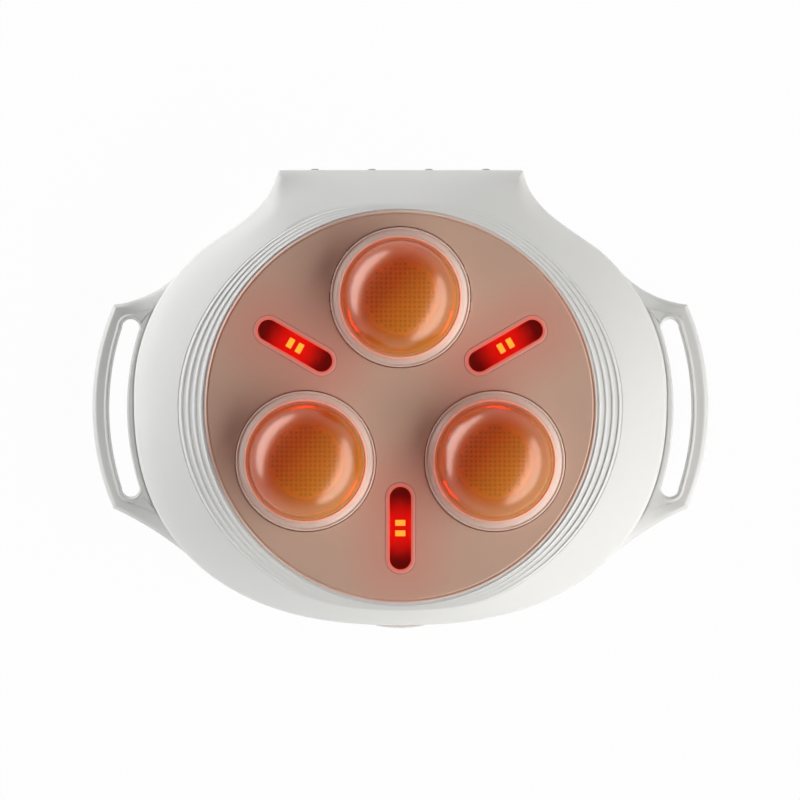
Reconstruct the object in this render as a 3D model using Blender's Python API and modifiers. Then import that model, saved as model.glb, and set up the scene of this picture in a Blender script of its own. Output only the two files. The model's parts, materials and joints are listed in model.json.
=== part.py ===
"""Cordless abdominal massager: a rounded plastic case with a button neck, a strap loop at each side,
a round face panel with three heated kneading heads, and three red light windows between them.

Units are metres. The case lies on its flat back: +Z points out of the massaging face, +Y towards
the button edge, and the origin is on the flat back under the middle of the face panel.
"""

import math

import bmesh
import bpy
from mathutils import Matrix, Vector

MM = 0.001

# Running gap between pieces, and how far a cutter passes the face it cuts
GAP = 0.3 * MM
OVERRUN = 2 * MM

# Case outline: an upper and a lower superellipse that share a width, with a button neck on top
BODY_MID_Y = 3.9 * MM
BODY_MARGIN_UP = 10.4 * MM
BODY_MARGIN_DOWN = 9.4 * MM
BODY_UP_POWER = 2.12
BODY_DOWN_POWER = 2.39
NECK_FLARE = 30.5 * MM
NECK_FOOT_PULL = 16.6 * MM
NECK_FOOT_SLOPE = math.radians(36.1)
NECK_HALF_WIDTH = 49.8 * MM
NECK_REACH = 16.6 * MM
NECK_TOP_PULL = 14.9 * MM
NECK_TOP_SLOPE = math.radians(77.3)
NECK_CORNER_ROUND = 1.2 * MM
SIDE_STEPS_DOWN = 12
SIDE_STEPS_UP = 7
NECK_STEPS = 5
NECK_TOP_STEPS = 4

# Case heights and walls
PARTING_Z = 16 * MM
WALL = 2.5 * MM
NECK_DROP = 12 * MM
CROWN_RUN = 17.5 * MM
CROWN_RISE = 14.6 * MM
CROWN_RUN_POWER = 0.7
CROWN_POWER = 0.85
EDGE_ROUND = 5 * MM
NECK_EDGE_ROUND = 1.2 * MM
EDGE_ROUND_TURN = math.radians(50)
INNER_EDGE_INSET = 2 * MM
INNER_EDGE_RISE = 1.5 * MM
CROWN_ROW_SHARES = (0.45,)
LEAST_SLANT_SHARE = 0.6

# Back dish: each pair is a share of the outline's reach and a share of the parting height
DISH_SHARES = ((0.78, 0.0), (0.85, 0.07), (0.92, 0.27), (0.98, 0.68), (1.0, 1.0))

# Stepped ribs beside the face panel; they fade out towards the top and the bottom
RIB_COUNT = 4
RIB_LAND = 1.5 * MM
RIB_PITCH = 2.7 * MM
RIB_RISER = 1.4 * MM
RIB_DROP = 1.1 * MM
RIB_CLOSED_PITCH = 0.24 * MM
RIB_FADE_SHARE = 0.1

# Face panel
PANEL_RIM = 5.4 * MM
PANEL_THICKNESS = 2.5 * MM
PANEL_CHAMFER = 1.6 * MM
PANEL_LEDGE = 3.1 * MM
PANEL_LEDGE_DEPTH = 2 * MM
PANEL_STEPS = 54

# Kneading heads
HEAD_ORBIT = 44.2 * MM
HEAD_ANGLES = {"top": math.radians(90), "left": math.radians(210), "right": math.radians(330)}
HEAD_HOLE_CLEARANCE = 0.8 * MM
HEAD_HOLE_STEPS = 24
SKIRT_WIDTH = 4.9 * MM
SKIRT_LIP_WIDTH = 1.1 * MM
SKIRT_FLANGE = 1.4 * MM
SKIRT_FOOT = 0.9 * MM
SKIRT_RISE = 4.6 * MM
SKIRT_MID_SHARE = 0.3
SKIRT_STEPS = 20
DOME_RADIUS = 23.8 * MM
DOME_RISE = 15 * MM
DOME_WALL = 2.2 * MM
DOME_STEPS = 20
DOME_ARC_STEPS = 5
DOME_BORE_ARC_STEPS = 3
HUB_DISC_RISE = 5.4 * MM
HUB_DISC_THICKNESS = 2.3 * MM
HUB_DISC_DEPTH = 1.8 * MM
HUB_SLEEVE_RADIUS = 8 * MM
HUB_SHOULDER_RADIUS = 10 * MM
HUB_STEPS = 12
AXLE_RADIUS = 4 * MM
AXLE_FLANGE_RADIUS = 8 * MM
AXLE_FLANGE_THICKNESS = 0.8 * MM
AXLE_COLLAR_RADIUS = 6.5 * MM
AXLE_COLLAR_THICKNESS = 1.5 * MM
AXLE_RISE = 6.5 * MM
AXLE_STEPS = 8
HEATER_RADIUS = 15 * MM
HEATER_THICKNESS = 1.6 * MM
HEATER_STEPS = 14

# Light windows between the heads, long axis pointing at the middle of the panel
WINDOW_ANGLES = {"right": math.radians(30), "left": math.radians(150), "bottom": math.radians(270)}
WINDOW_RIM = 13.2 * MM
WINDOW_LENGTH = 33.4 * MM
WINDOW_WIDTH = 8.7 * MM
WINDOW_END_STEPS = 5
LENS_RECESS = 0.8 * MM
TRAY_WALL = 1.8 * MM
TRAY_FLOOR = 0.8 * MM
TRAY_HEIGHT = 3.7 * MM
LED_BOARD_THICKNESS = 1 * MM
LED_BOARD_END_ROOM = 4.7 * MM
LED_BOARD_SIDE_ROOM = 1.15 * MM
CHIP_ACROSS = 3.9 * MM
CHIP_ALONG = 2.3 * MM
CHIP_HEIGHT = 0.7 * MM
CHIP_PITCH = 4.2 * MM

# Strap loops: a curved bar and two webs, standing out of the back shell
LOOP_DROP = 1 * MM
LOOP_THICKNESS = 6 * MM
LOOP_STANDOFF = 17 * MM
LOOP_BAR_WIDTH = 6.9 * MM
LOOP_BAR_RADIUS = 103.1 * MM
LOOP_MID_Y = 0.3 * MM
LOOP_END_WIDTH = 5.6 * MM
LOOP_BAR_STEPS = 10
WEB_TOP_RISE = 11.7 * MM
WEB_BOTTOM_DROP = 19.2 * MM
WEB_TOP_SAG = 2.4 * MM
WEB_BOTTOM_SAG = 1.2 * MM
WEB_STEPS = 4
LOOP_ROOT_SHARE = 0.93
LOOP_ROOT_STEPS = 5
SLOT_MARGIN = 3.5 * MM
SLOT_OUTER_RADIUS = 104.8 * MM
SLOT_INNER_RADIUS = 112.9 * MM
SLOT_HALF_LENGTH = 36 * MM
SLOT_OFFSET_Y = -0.9 * MM
SLOT_STEPS = 7
SLOT_END_STEPS = 5

# Gear train: motor, worm, worm wheel, sun gear and one gear under each head
SUN_TEETH = 12
HEAD_TEETH = 24
WHEEL_TEETH = 24
WHEEL_MODULE = 1.5 * MM
WHEEL_WIDTH = 8 * MM
WORM_PITCH_RADIUS = 6 * MM
WORM_LENGTH = 22 * MM
WORM_STEPS = 12
WORM_STUB_RADIUS = 2 * MM
TOOTH_TIP_SHARE = 0.8
TOOTH_ROOT_SHARE = 1.05
TOOTH_BACKLASH = 0.35 * MM
PRESSURE_ANGLE = math.radians(20)
GEAR_LIFT = 1.8 * MM
GEAR_WIDTH = 6 * MM
SHAFT_RADIUS = 3 * MM
SHAFT_OVERHANG = 2 * MM
SHAFT_STEPS = 12
GEAR_PLATE_THICKNESS = 2.5 * MM
GEAR_PLATE_LOBE = 12 * MM
GEAR_PLATE_WAIST = 7 * MM
GEAR_PLATE_WAIST_SPREAD = math.radians(8)
GEAR_PLATE_LOBE_STEPS = 8
BUSH_WALL = 2.7 * MM
BUSH_FLANGE = 1.8 * MM
BUSH_FLANGE_THICKNESS = 1 * MM
LOWER_BUSH_HEIGHT = 6 * MM
BUSH_SEAT_WALL = 2.2 * MM
MOTOR_RADIUS = 12 * MM
MOTOR_CLEARANCE = 1 * MM
MOTOR_LENGTH = 31 * MM
MOTOR_START_X = 18 * MM
MOTOR_NOSE_RADIUS = 4 * MM
MOTOR_NOSE_LENGTH = 1.5 * MM
MOTOR_SHAFT_RADIUS = 1.5 * MM
MOTOR_SHAFT_DEPTH = 4 * MM
MOTOR_STEPS = 14
CRADLE_WIDTH = 3 * MM
CRADLE_HEIGHT = 7 * MM
CRADLE_PLACES_SHARE = (0.2, 0.8)
BEARING_LENGTH = 5 * MM
BEARING_HALF_WIDTH = 7 * MM
BEARING_HEAD_ROOM = 4 * MM
POST_RADIUS = 3.5 * MM
POST_ORBIT = 46.1 * MM
POST_STEPS = 10

# Battery pack, and the low ribs on the floor that locate it
BATTERY_SIZE = (66 * MM, 38 * MM, 19 * MM)
BATTERY_MID_Y = 49 * MM
BATTERY_ROUND = 5 * MM
BATTERY_RIB_WIDTH = 1.6 * MM
BATTERY_RIB_HEIGHT = 8 * MM
BATTERY_RIB_SHORT = 4 * MM

# Case screws, from the back into bosses under the crown: the direction from the body's middle of each
# right-hand screw, and how far it stands in from the outline
SCREW_TURNS = {"top": math.radians(43.9), "side": math.radians(-7.9), "bottom": math.radians(-62.6)}
SCREW_INSETS = {"top": 18.6 * MM, "side": 22 * MM, "bottom": 17.1 * MM}
SCREW_SHANK_RADIUS = 1.6 * MM
SCREW_HEAD_RADIUS = 3.2 * MM
SCREW_HEAD_HEIGHT = 2 * MM
SCREW_SEAT_Z = 8 * MM
SCREW_LENGTH = 18 * MM
SCREW_STEPS = 8
BACK_BOSS_RADIUS = 5.2 * MM
FRONT_BOSS_RADIUS = 4 * MM
BOSS_STEPS = 10
BOSS_SINK = 0.3 * MM

# Small screws that hold the gear plate on its posts and the control board on its rails
SMALL_SCREW_SHANK_RADIUS = 1 * MM
SMALL_SCREW_HEAD_RADIUS = 2 * MM
SMALL_SCREW_HEAD_HEIGHT = 1.3 * MM
PLATE_SCREW_LENGTH = 8 * MM
BOARD_SCREW_LENGTH = 4.6 * MM
BOARD_SCREW_DROP = 2.6 * MM
SMALL_SCREW_STEPS = 6

# Buttons in the flat top wall, and the board behind them
BUTTON_NAMES = ("power", "heat", "mode", "level")
BUTTON_SIDE_MARGIN = 3.6 * MM
BUTTON_RADIUS = 5.5 * MM
BUTTON_PROUD = 0.6 * MM
BUTTON_FLANGE = 1.1 * MM
BUTTON_FLANGE_THICKNESS = 1.2 * MM
BUTTON_STEM_RADIUS = 2 * MM
BUTTON_STEM = 2 * MM
BUTTON_TRAVEL = 0.8 * MM
BUTTON_CROWN_DROP = 0.15 * MM
BUTTON_EDGE_DROP = 1 * MM
BUTTON_CROWN_SHARE = 0.6
BUTTON_STEPS = 10
BOARD_SIDE_MARGIN = 5.8 * MM
BOARD_THICKNESS = 1.6 * MM
BOARD_HEIGHT = 14 * MM
BOARD_RISE = 1 * MM
SWITCH_SIZE = (6 * MM, 2 * MM, 6 * MM)
RAIL_WIDTH = 4 * MM
RAIL_DEPTH = 3 * MM
RAIL_INSET = 5 * MM
RAIL_SHORT = 1 * MM
FOOT_RISE = 0.8 * MM

# Charging port behind its plug in the bottom wall
PLUG_WIDTH = 20 * MM
PLUG_HEIGHT = 9 * MM
PLUG_PROUD = 1.2 * MM
PLUG_BODY = 2.2 * MM
PLUG_RISE = 6 * MM
PLUG_ROUND = 2 * MM
PLUG_ROUND_STEPS = 3
PLUG_TONGUE_SIZE = (6 * MM, 3.2 * MM, 1.4 * MM)
PORT_SIZE = (9 * MM, 7.3 * MM, 3.4 * MM)
PORT_WALL = 0.6 * MM
PORT_STANDOFF = 1.2 * MM
PORT_BOARD_SIZE = (18 * MM, 8 * MM, 1.2 * MM)
PORT_POST_SIZE = (8 * MM, 3 * MM)

# Heights that follow from the sizes above, from the floor up
FLOOR_Z = WALL
BACK_TOP_Z = PARTING_Z - GAP / 2
FRONT_BOTTOM_Z = PARTING_Z + GAP / 2
MOTOR_AXIS_Z = FLOOR_Z + MOTOR_CLEARANCE + MOTOR_RADIUS
GEAR_PLATE_BOTTOM_Z = MOTOR_AXIS_Z + MOTOR_RADIUS + MOTOR_CLEARANCE
GEAR_PLATE_TOP_Z = GEAR_PLATE_BOTTOM_Z + GEAR_PLATE_THICKNESS
AXLE_FLANGE_TOP_Z = GEAR_PLATE_TOP_Z + GAP + AXLE_FLANGE_THICKNESS
GEAR_BOTTOM_Z = GEAR_PLATE_TOP_Z + GEAR_LIFT
GEAR_TOP_Z = GEAR_BOTTOM_Z + GEAR_WIDTH
HUB_DISC_Z = GEAR_TOP_Z + HUB_DISC_RISE
HUB_DISC_TOP_Z = HUB_DISC_Z + HUB_DISC_THICKNESS
PANEL_TOP_Z = HUB_DISC_Z + HUB_DISC_DEPTH
PANEL_BOTTOM_Z = PANEL_TOP_Z - PANEL_THICKNESS
LEDGE_TOP_Z = PANEL_BOTTOM_Z - GAP
LEDGE_BOTTOM_Z = LEDGE_TOP_Z - PANEL_LEDGE_DEPTH
BOSS_TOP_Z = LEDGE_BOTTOM_Z + BOSS_SINK
TRAY_TOP_Z = PANEL_BOTTOM_Z - GAP
TRAY_BOTTOM_Z = TRAY_TOP_Z - TRAY_HEIGHT
SKIRT_SHOULDER_Z = HUB_DISC_TOP_Z + SKIRT_FOOT
SKIRT_LIP_Z = SKIRT_SHOULDER_Z + SKIRT_RISE
DOME_SHOULDER_Z = SKIRT_LIP_Z
DOME_TOP_Z = DOME_SHOULDER_Z + DOME_RISE
AXLE_TOP_Z = HUB_DISC_TOP_Z + AXLE_RISE
NECK_EDGE_Z = PANEL_TOP_Z - NECK_DROP
BUTTON_Z = (PARTING_Z + NECK_EDGE_Z) / 2
BOARD_MID_Z = BUTTON_Z + BOARD_RISE
BOARD_SCREW_Z = BOARD_MID_Z + BOARD_HEIGHT / 2 - BOARD_SCREW_DROP
RAIL_TOP_Z = BOARD_MID_Z + BOARD_HEIGHT / 2 - RAIL_SHORT
PLUG_Z = PARTING_Z + PLUG_RISE
PORT_BOARD_Z = PLUG_Z - PORT_SIZE[2] / 2 - GAP - PORT_BOARD_SIZE[2]
LOOP_BOTTOM_Z = PARTING_Z - LOOP_DROP - LOOP_THICKNESS

# Radii and places that follow, from the heads out to the case and its strap loops
SKIRT_RADIUS = DOME_RADIUS + SKIRT_WIDTH
HEAD_HOLE_RADIUS = SKIRT_RADIUS + HEAD_HOLE_CLEARANCE
HUB_DISC_RADIUS = SKIRT_RADIUS - SKIRT_FLANGE - GAP
PANEL_RADIUS = HEAD_ORBIT + HEAD_HOLE_RADIUS + PANEL_RIM
PANEL_HOLE_RADIUS = PANEL_RADIUS + GAP
LEDGE_RADIUS = PANEL_HOLE_RADIUS - PANEL_LEDGE
WINDOW_ORBIT = PANEL_RADIUS - WINDOW_RIM - WINDOW_LENGTH / 2
RIB_FIRST_X = PANEL_HOLE_RADIUS + RIB_LAND
RIB_OUTER_X = RIB_FIRST_X + (RIB_COUNT - 1) * RIB_PITCH + RIB_RISER
RIB_OUTER_Y = PANEL_HOLE_RADIUS + 2 * RIB_COUNT * RIB_CLOSED_PITCH
BODY_HALF_WIDTH = RIB_OUTER_X + CROWN_RUN
BODY_REACH_UP = PANEL_RADIUS + BODY_MARGIN_UP - BODY_MID_Y
BODY_REACH_DOWN = PANEL_RADIUS + BODY_MARGIN_DOWN + BODY_MID_Y
NECK_FOOT_X = NECK_HALF_WIDTH + NECK_FLARE
NECK_TOP_Y = PANEL_RADIUS + NECK_REACH
BOTTOM_WALL_Y = BODY_MID_Y - BODY_REACH_DOWN
LOOP_REACH = BODY_HALF_WIDTH + LOOP_STANDOFF
LOOP_TOP_Y = LOOP_MID_Y + SLOT_HALF_LENGTH + LOOP_END_WIDTH
LOOP_BOTTOM_Y = LOOP_MID_Y - SLOT_HALF_LENGTH - LOOP_END_WIDTH
WEB_TOP_Y = LOOP_TOP_Y + WEB_TOP_RISE
WEB_BOTTOM_Y = LOOP_BOTTOM_Y - WEB_BOTTOM_DROP
SLOT_OUTER_X = LOOP_REACH - LOOP_BAR_WIDTH
SLOT_INNER_X = BODY_HALF_WIDTH + SLOT_MARGIN
SLOT_MID_Y = LOOP_MID_Y + SLOT_OFFSET_Y

# Drive, buttons and port
HEAD_MODULE = 2 * HEAD_ORBIT / (SUN_TEETH + HEAD_TEETH)
WHEEL_PITCH_RADIUS = WHEEL_MODULE * WHEEL_TEETH / 2
WHEEL_TWIST = WHEEL_MODULE / (2 * WORM_PITCH_RADIUS) / WHEEL_PITCH_RADIUS
WORM_LEAD = math.pi * WHEEL_MODULE
MOTOR_AXIS_Y = -(WHEEL_PITCH_RADIUS + WORM_PITCH_RADIUS)
SHAFT_BORE = SHAFT_RADIUS + GAP
BUSH_RADIUS = SHAFT_BORE + BUSH_WALL
BUTTON_PITCH = 2 * (NECK_HALF_WIDTH - BUTTON_SIDE_MARGIN) / len(BUTTON_NAMES)
BUTTON_FLANGE_FRONT_Y = NECK_TOP_Y - WALL - GAP
BUTTON_FLANGE_BACK_Y = BUTTON_FLANGE_FRONT_Y - BUTTON_FLANGE_THICKNESS
BOARD_FACE_Y = BUTTON_FLANGE_BACK_Y - BUTTON_STEM - BUTTON_TRAVEL - GAP - SWITCH_SIZE[1]
BOARD_WIDTH = 2 * (NECK_HALF_WIDTH - BOARD_SIDE_MARGIN)
RAIL_X = BOARD_WIDTH / 2 - RAIL_INSET
RAIL_FACE_Y = BOARD_FACE_Y - BOARD_THICKNESS - GAP
PORT_FACE_Y = BOTTOM_WALL_Y + WALL + PORT_STANDOFF
SIDES = {"right": 1, "left": -1}


def clear_scene():
    for item in list(bpy.data.objects):
        bpy.data.objects.remove(item, do_unlink=True)


clear_scene()
MODEL = bpy.data.collections.new("abdominal_massager")
CUTTERS = bpy.data.collections.new("cutters")
for collection in (MODEL, CUTTERS):
    bpy.context.scene.collection.children.link(collection)


# Materials

def material(name, colour, roughness, metallic=0.0, alpha=1.0):
    made = bpy.data.materials.new(name)
    made.use_nodes = True
    shader = made.node_tree.nodes["Principled BSDF"]
    shader.inputs["Base Color"].default_value = (*colour, 1.0)
    shader.inputs["Roughness"].default_value = roughness
    shader.inputs["Metallic"].default_value = metallic
    shader.inputs["Alpha"].default_value = alpha
    made.diffuse_color = (*colour, alpha)
    return made


WHITE_SATIN = material("white_satin", (0.86, 0.86, 0.84), 0.35)
CHAMPAGNE_PINK = material("champagne_pink", (0.62, 0.4, 0.3), 0.35, 0.3)
PALE_SILICONE = material("pale_silicone", (0.84, 0.72, 0.66), 0.4)
AMBER = material("amber", (0.6, 0.2, 0.02), 0.08)
RED_LENS = material("red_lens", (0.8, 0.0, 0.0), 0.1)
DARK_RED_TRAY = material("dark_red_tray", (0.3, 0.0, 0.0), 0.5)
BOARD_GREEN = material("board_green", (0.03, 0.2, 0.07), 0.5)
HEATER_BLACK = material("heater_black", (0.05, 0.04, 0.04), 0.5)
IVORY_ACETAL = material("ivory_acetal", (0.8, 0.76, 0.66), 0.4)
STEEL = material("steel", (0.6, 0.6, 0.6), 0.3, 1.0)
BRONZE = material("bronze", (0.5, 0.3, 0.12), 0.4, 1.0)
BATTERY_BLUE = material("battery_blue", (0.05, 0.15, 0.4), 0.4)
GREY_BUTTON = material("grey_button", (0.6, 0.6, 0.6), 0.4)


# Modelling helpers

def add_object(name, mesh, surface, collection=MODEL):
    made = bpy.data.objects.new(name, mesh)
    collection.objects.link(made)
    if surface is not None:
        mesh.materials.append(surface)
    if collection is CUTTERS:
        made.hide_render = True
        made.display_type = "WIRE"
    return made


def mesh_from(name, shape):
    """Turn a bmesh into a mesh, with every face pointing out."""
    bmesh.ops.recalc_face_normals(shape, faces=shape.faces)
    mesh = bpy.data.meshes.new(name)
    shape.to_mesh(mesh)
    shape.free()
    return mesh


def smooth(made, angle=math.radians(35)):
    made.data.shade_smooth()
    made.data.set_sharp_from_angle(angle=angle)
    return made


def turned(name, profile, surface, steps, closed=True, collection=MODEL):
    """Turn a profile of (radius, height) points about Z; it runs down its outer side."""
    mesh = bpy.data.meshes.new(name)
    edges = [(i, i + 1) for i in range(len(profile) - 1)]
    if closed:
        edges.append((len(profile) - 1, 0))
    mesh.from_pydata([(radius, 0, height) for radius, height in profile], edges, [])
    made = add_object(name, mesh, surface, collection)
    screw = made.modifiers.new("turn", "SCREW")
    screw.steps = steps
    screw.render_steps = steps
    screw.use_merge_vertices = True
    screw.merge_threshold = GAP / 10
    screw.use_smooth_shade = True
    return made


def outline_plate(name, outlines, bottom, thickness, surface, collection=MODEL):
    """A flat plate from closed outlines; the second and later ones are holes."""
    curve = bpy.data.curves.new(name, "CURVE")
    curve.dimensions = "2D"
    curve.fill_mode = "BOTH"
    curve.extrude = thickness / 2
    for outline in outlines:
        spline = curve.splines.new("POLY")
        spline.points.add(len(outline) - 1)
        for point, (x, y) in zip(spline.points, outline):
            point.co = (x, y, 0, 1)
        spline.use_cyclic_u = True
    guide = bpy.data.objects.new(name + "_outline", curve)
    guide.location.z = bottom + thickness / 2
    CUTTERS.objects.link(guide)
    bpy.context.view_layer.update()
    evaluated = guide.evaluated_get(bpy.context.evaluated_depsgraph_get())
    shape = bmesh.new()
    shape.from_mesh(bpy.data.meshes.new_from_object(evaluated))
    shape.transform(guide.matrix_world)
    bpy.data.objects.remove(guide, do_unlink=True)
    bmesh.ops.remove_doubles(shape, verts=shape.verts, dist=GAP / 30)
    return add_object(name, mesh_from(name, shape), surface, collection)


def box(name, low, high, surface, collection=MODEL, rounding=0, segments=2):
    shape = bmesh.new()
    bmesh.ops.create_cube(shape, size=1)
    middle = (Vector(low) + Vector(high)) / 2
    size = Vector(high) - Vector(low)
    shape.transform(Matrix.Translation(middle) @ Matrix.Diagonal((*size, 1)))
    made = add_object(name, mesh_from(name, shape), surface, collection)
    if rounding:
        bevel = made.modifiers.new("round", "BEVEL")
        bevel.width = rounding
        bevel.segments = segments
    return made


def rods(name, places, radius, start, end, steps, axis="Z"):
    """Several parallel cylinders in one cutter or joining tool."""
    turn = {
        "Z": Matrix(),
        "X": Matrix.Rotation(math.pi / 2, 4, "Y"),
        "Y": Matrix.Rotation(-math.pi / 2, 4, "X"),
    }
    shape = bmesh.new()
    for x, y, z in places:
        step = {"Z": Vector((0, 0, 1)), "X": Vector((1, 0, 0)), "Y": Vector((0, 1, 0))}[axis]
        middle = Vector((x, y, z)) + step * (start + end) / 2
        bmesh.ops.create_cone(
            shape, cap_ends=True, segments=steps, radius1=radius, radius2=radius, depth=end - start,
            matrix=Matrix.Translation(middle) @ turn[axis],
        )
    return add_object(name, mesh_from(name, shape), None, CUTTERS)


def combine(made, tool, operation):
    step = made.modifiers.new(tool.name, "BOOLEAN")
    step.operation = operation
    step.solver = "EXACT"
    step.object = tool
    return made


def join(made, *tools):
    for tool in tools:
        combine(made, tool, "UNION")


def cut(made, *tools):
    for tool in tools:
        combine(made, tool, "DIFFERENCE")


def loft_half(name, rows, surface, closed):
    """A loft through rows that run from the bottom middle to the top middle, mirrored across X.

    A closed loft joins its last row to its first; an open one is capped at both ends.
    """
    shape = bmesh.new()
    grid = [[shape.verts.new(point) for point in row] for row in rows]
    pairs = list(zip(grid, grid[1:]))
    if closed:
        pairs.append((grid[-1], grid[0]))
    else:
        shape.faces.new(grid[0])
        shape.faces.new(reversed(grid[-1]))
    for lower, upper in pairs:
        for i in range(len(lower) - 1):
            shape.faces.new((lower[i + 1], lower[i], upper[i], upper[i + 1]))
    mesh = bpy.data.meshes.new(name)
    shape.to_mesh(mesh)
    shape.free()
    made = add_object(name, mesh, surface)
    mirror = made.modifiers.new("mirror", "MIRROR")
    mirror.merge_threshold = GAP / 30
    return made


def polar(radius, angle):
    return radius * math.cos(angle), radius * math.sin(angle)


def circle(radius, steps, x=0, y=0):
    return [
        (x + radius * math.cos(math.tau * i / steps), y + radius * math.sin(math.tau * i / steps))
        for i in range(steps)
    ]


def window_outline(side, clearance):
    """The slot of a light window, grown by a clearance all round: round ends, long axis along the radius."""
    length, width = WINDOW_LENGTH + 2 * clearance, WINDOW_WIDTH + 2 * clearance
    radius = width / 2
    half = length / 2 - radius
    points = []
    for end, start in ((half, -math.pi / 2), (-half, math.pi / 2)):
        for i in range(WINDOW_END_STEPS + 1):
            angle = start + math.pi * i / WINDOW_END_STEPS
            points.append((WINDOW_ORBIT + end + radius * math.cos(angle), radius * math.sin(angle)))
    turn = Matrix.Rotation(WINDOW_ANGLES[side], 2)
    return [tuple(turn @ Vector(point)) for point in points]


# Case outline

def superellipse(turn, reach, power):
    """The point of the right half in a direction of -90 to 90 degrees from the body's middle."""
    across, along = math.cos(turn), math.sin(turn)
    radius = ((across / BODY_HALF_WIDTH) ** power + (abs(along) / reach) ** power) ** (-1 / power)
    return Vector((radius * across, BODY_MID_Y + radius * along))


def cubic(points, share):
    rest = 1 - share
    weights = (rest ** 3, 3 * rest ** 2 * share, 3 * rest * share ** 2, share ** 3)
    return sum((point * weight for point, weight in zip(points, weights)), Vector((0, 0)))


def outline_half():
    """Right half of the case outline, from the bottom middle to the top middle.

    Each entry is the point and how much it belongs to the neck, from 0 to 1.
    """
    half_turn = math.pi / 2
    points = []
    for i in range(SIDE_STEPS_DOWN):
        turn = -half_turn * (1 - i / SIDE_STEPS_DOWN)
        points.append((superellipse(turn, BODY_REACH_DOWN, BODY_DOWN_POWER), 0))
    foot_rise = BODY_REACH_UP * (1 - (NECK_FOOT_X / BODY_HALF_WIDTH) ** BODY_UP_POWER) ** (1 / BODY_UP_POWER)
    foot_turn = math.atan2(foot_rise, NECK_FOOT_X)
    for i in range(SIDE_STEPS_UP):
        points.append((superellipse(foot_turn * i / SIDE_STEPS_UP, BODY_REACH_UP, BODY_UP_POWER), 0))
    foot = superellipse(foot_turn, BODY_REACH_UP, BODY_UP_POWER)
    corner = Vector((NECK_HALF_WIDTH, NECK_TOP_Y - NECK_CORNER_ROUND))
    flare = (
        foot,
        foot + NECK_FOOT_PULL * Vector((-math.cos(NECK_FOOT_SLOPE), math.sin(NECK_FOOT_SLOPE))),
        corner + NECK_TOP_PULL * Vector((math.cos(NECK_TOP_SLOPE), -math.sin(NECK_TOP_SLOPE))),
        corner,
    )
    for i in range(NECK_STEPS + 1):
        share = i / NECK_STEPS
        points.append((cubic(flare, share), share ** 2 * (3 - 2 * share)))
    middle = corner - Vector((NECK_CORNER_ROUND, 0))
    slant = math.pi / 4
    points.append((middle + NECK_CORNER_ROUND * Vector((math.cos(slant), math.sin(slant))), 1))
    top_start = middle.x
    for i in range(NECK_TOP_STEPS + 1):
        points.append((Vector((top_start * (1 - i / NECK_TOP_STEPS), NECK_TOP_Y)), 1))
    points[0] = (Vector((0, points[0][0].y)), 0)
    points[-1] = (Vector((0, NECK_TOP_Y)), 1)
    return points


OUTLINE = outline_half()


def outward(index):
    """Unit normal of the outline at a point."""
    before = OUTLINE[max(index - 1, 0)][0]
    after = OUTLINE[min(index + 1, len(OUTLINE) - 1)][0]
    run = (after - before).normalized()
    if index in (0, len(OUTLINE) - 1):
        return Vector((0, -1 if index == 0 else 1))
    return Vector((run.y, -run.x))


def drawn_in(index, inset):
    """A point of the outline moved towards the panel's middle so that the wall there is inset thick."""
    point = OUTLINE[index][0]
    slant = max(outward(index).dot(point.normalized()), LEAST_SLANT_SHARE)
    return point * (1 - inset / slant / point.length)


def oval_point(index, half_width, half_height):
    """Where an oval about the panel's middle meets the ray to a point of the outline."""
    ray = OUTLINE[index][0].normalized()
    return ray / math.hypot(ray.x / half_width, ray.y / half_height)


def lofted(flat, height):
    return (flat.x, flat.y, height)


# Front shell

def rib_fade(index):
    ray = OUTLINE[index][0].normalized()
    return max(abs(ray.x), RIB_FADE_SHARE)


def rib_foot_height(index):
    return PANEL_TOP_Z - RIB_COUNT * RIB_DROP * rib_fade(index)


def edge_height(index):
    """Top of the upright side wall: higher where the crown beside the panel is narrow."""
    point, neck = OUTLINE[index]
    run = point.length - oval_point(index, RIB_OUTER_X, RIB_OUTER_Y).length
    body = rib_foot_height(index) - CROWN_RISE * (run / CROWN_RUN) ** CROWN_RUN_POWER
    return body + (NECK_EDGE_Z - body) * neck


def edge_point(index, turn):
    """A point on the round between the side wall and the crown."""
    neck = OUTLINE[index][1]
    radius = EDGE_ROUND + (NECK_EDGE_ROUND - EDGE_ROUND) * neck
    flat = drawn_in(index, radius * (1 - math.cos(turn)))
    return Vector((*flat, edge_height(index) + radius * math.sin(turn)))


def crown_point(index, share):
    """A point of the crown, from the edge round at share 0 to the outer rib at share 1."""
    edge = edge_point(index, EDGE_ROUND_TURN)
    foot = Vector((*oval_point(index, RIB_OUTER_X, RIB_OUTER_Y), rib_foot_height(index)))
    point = edge.lerp(foot, share)
    point.z = edge.z + (foot.z - edge.z) * share ** CROWN_POWER
    return point


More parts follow.
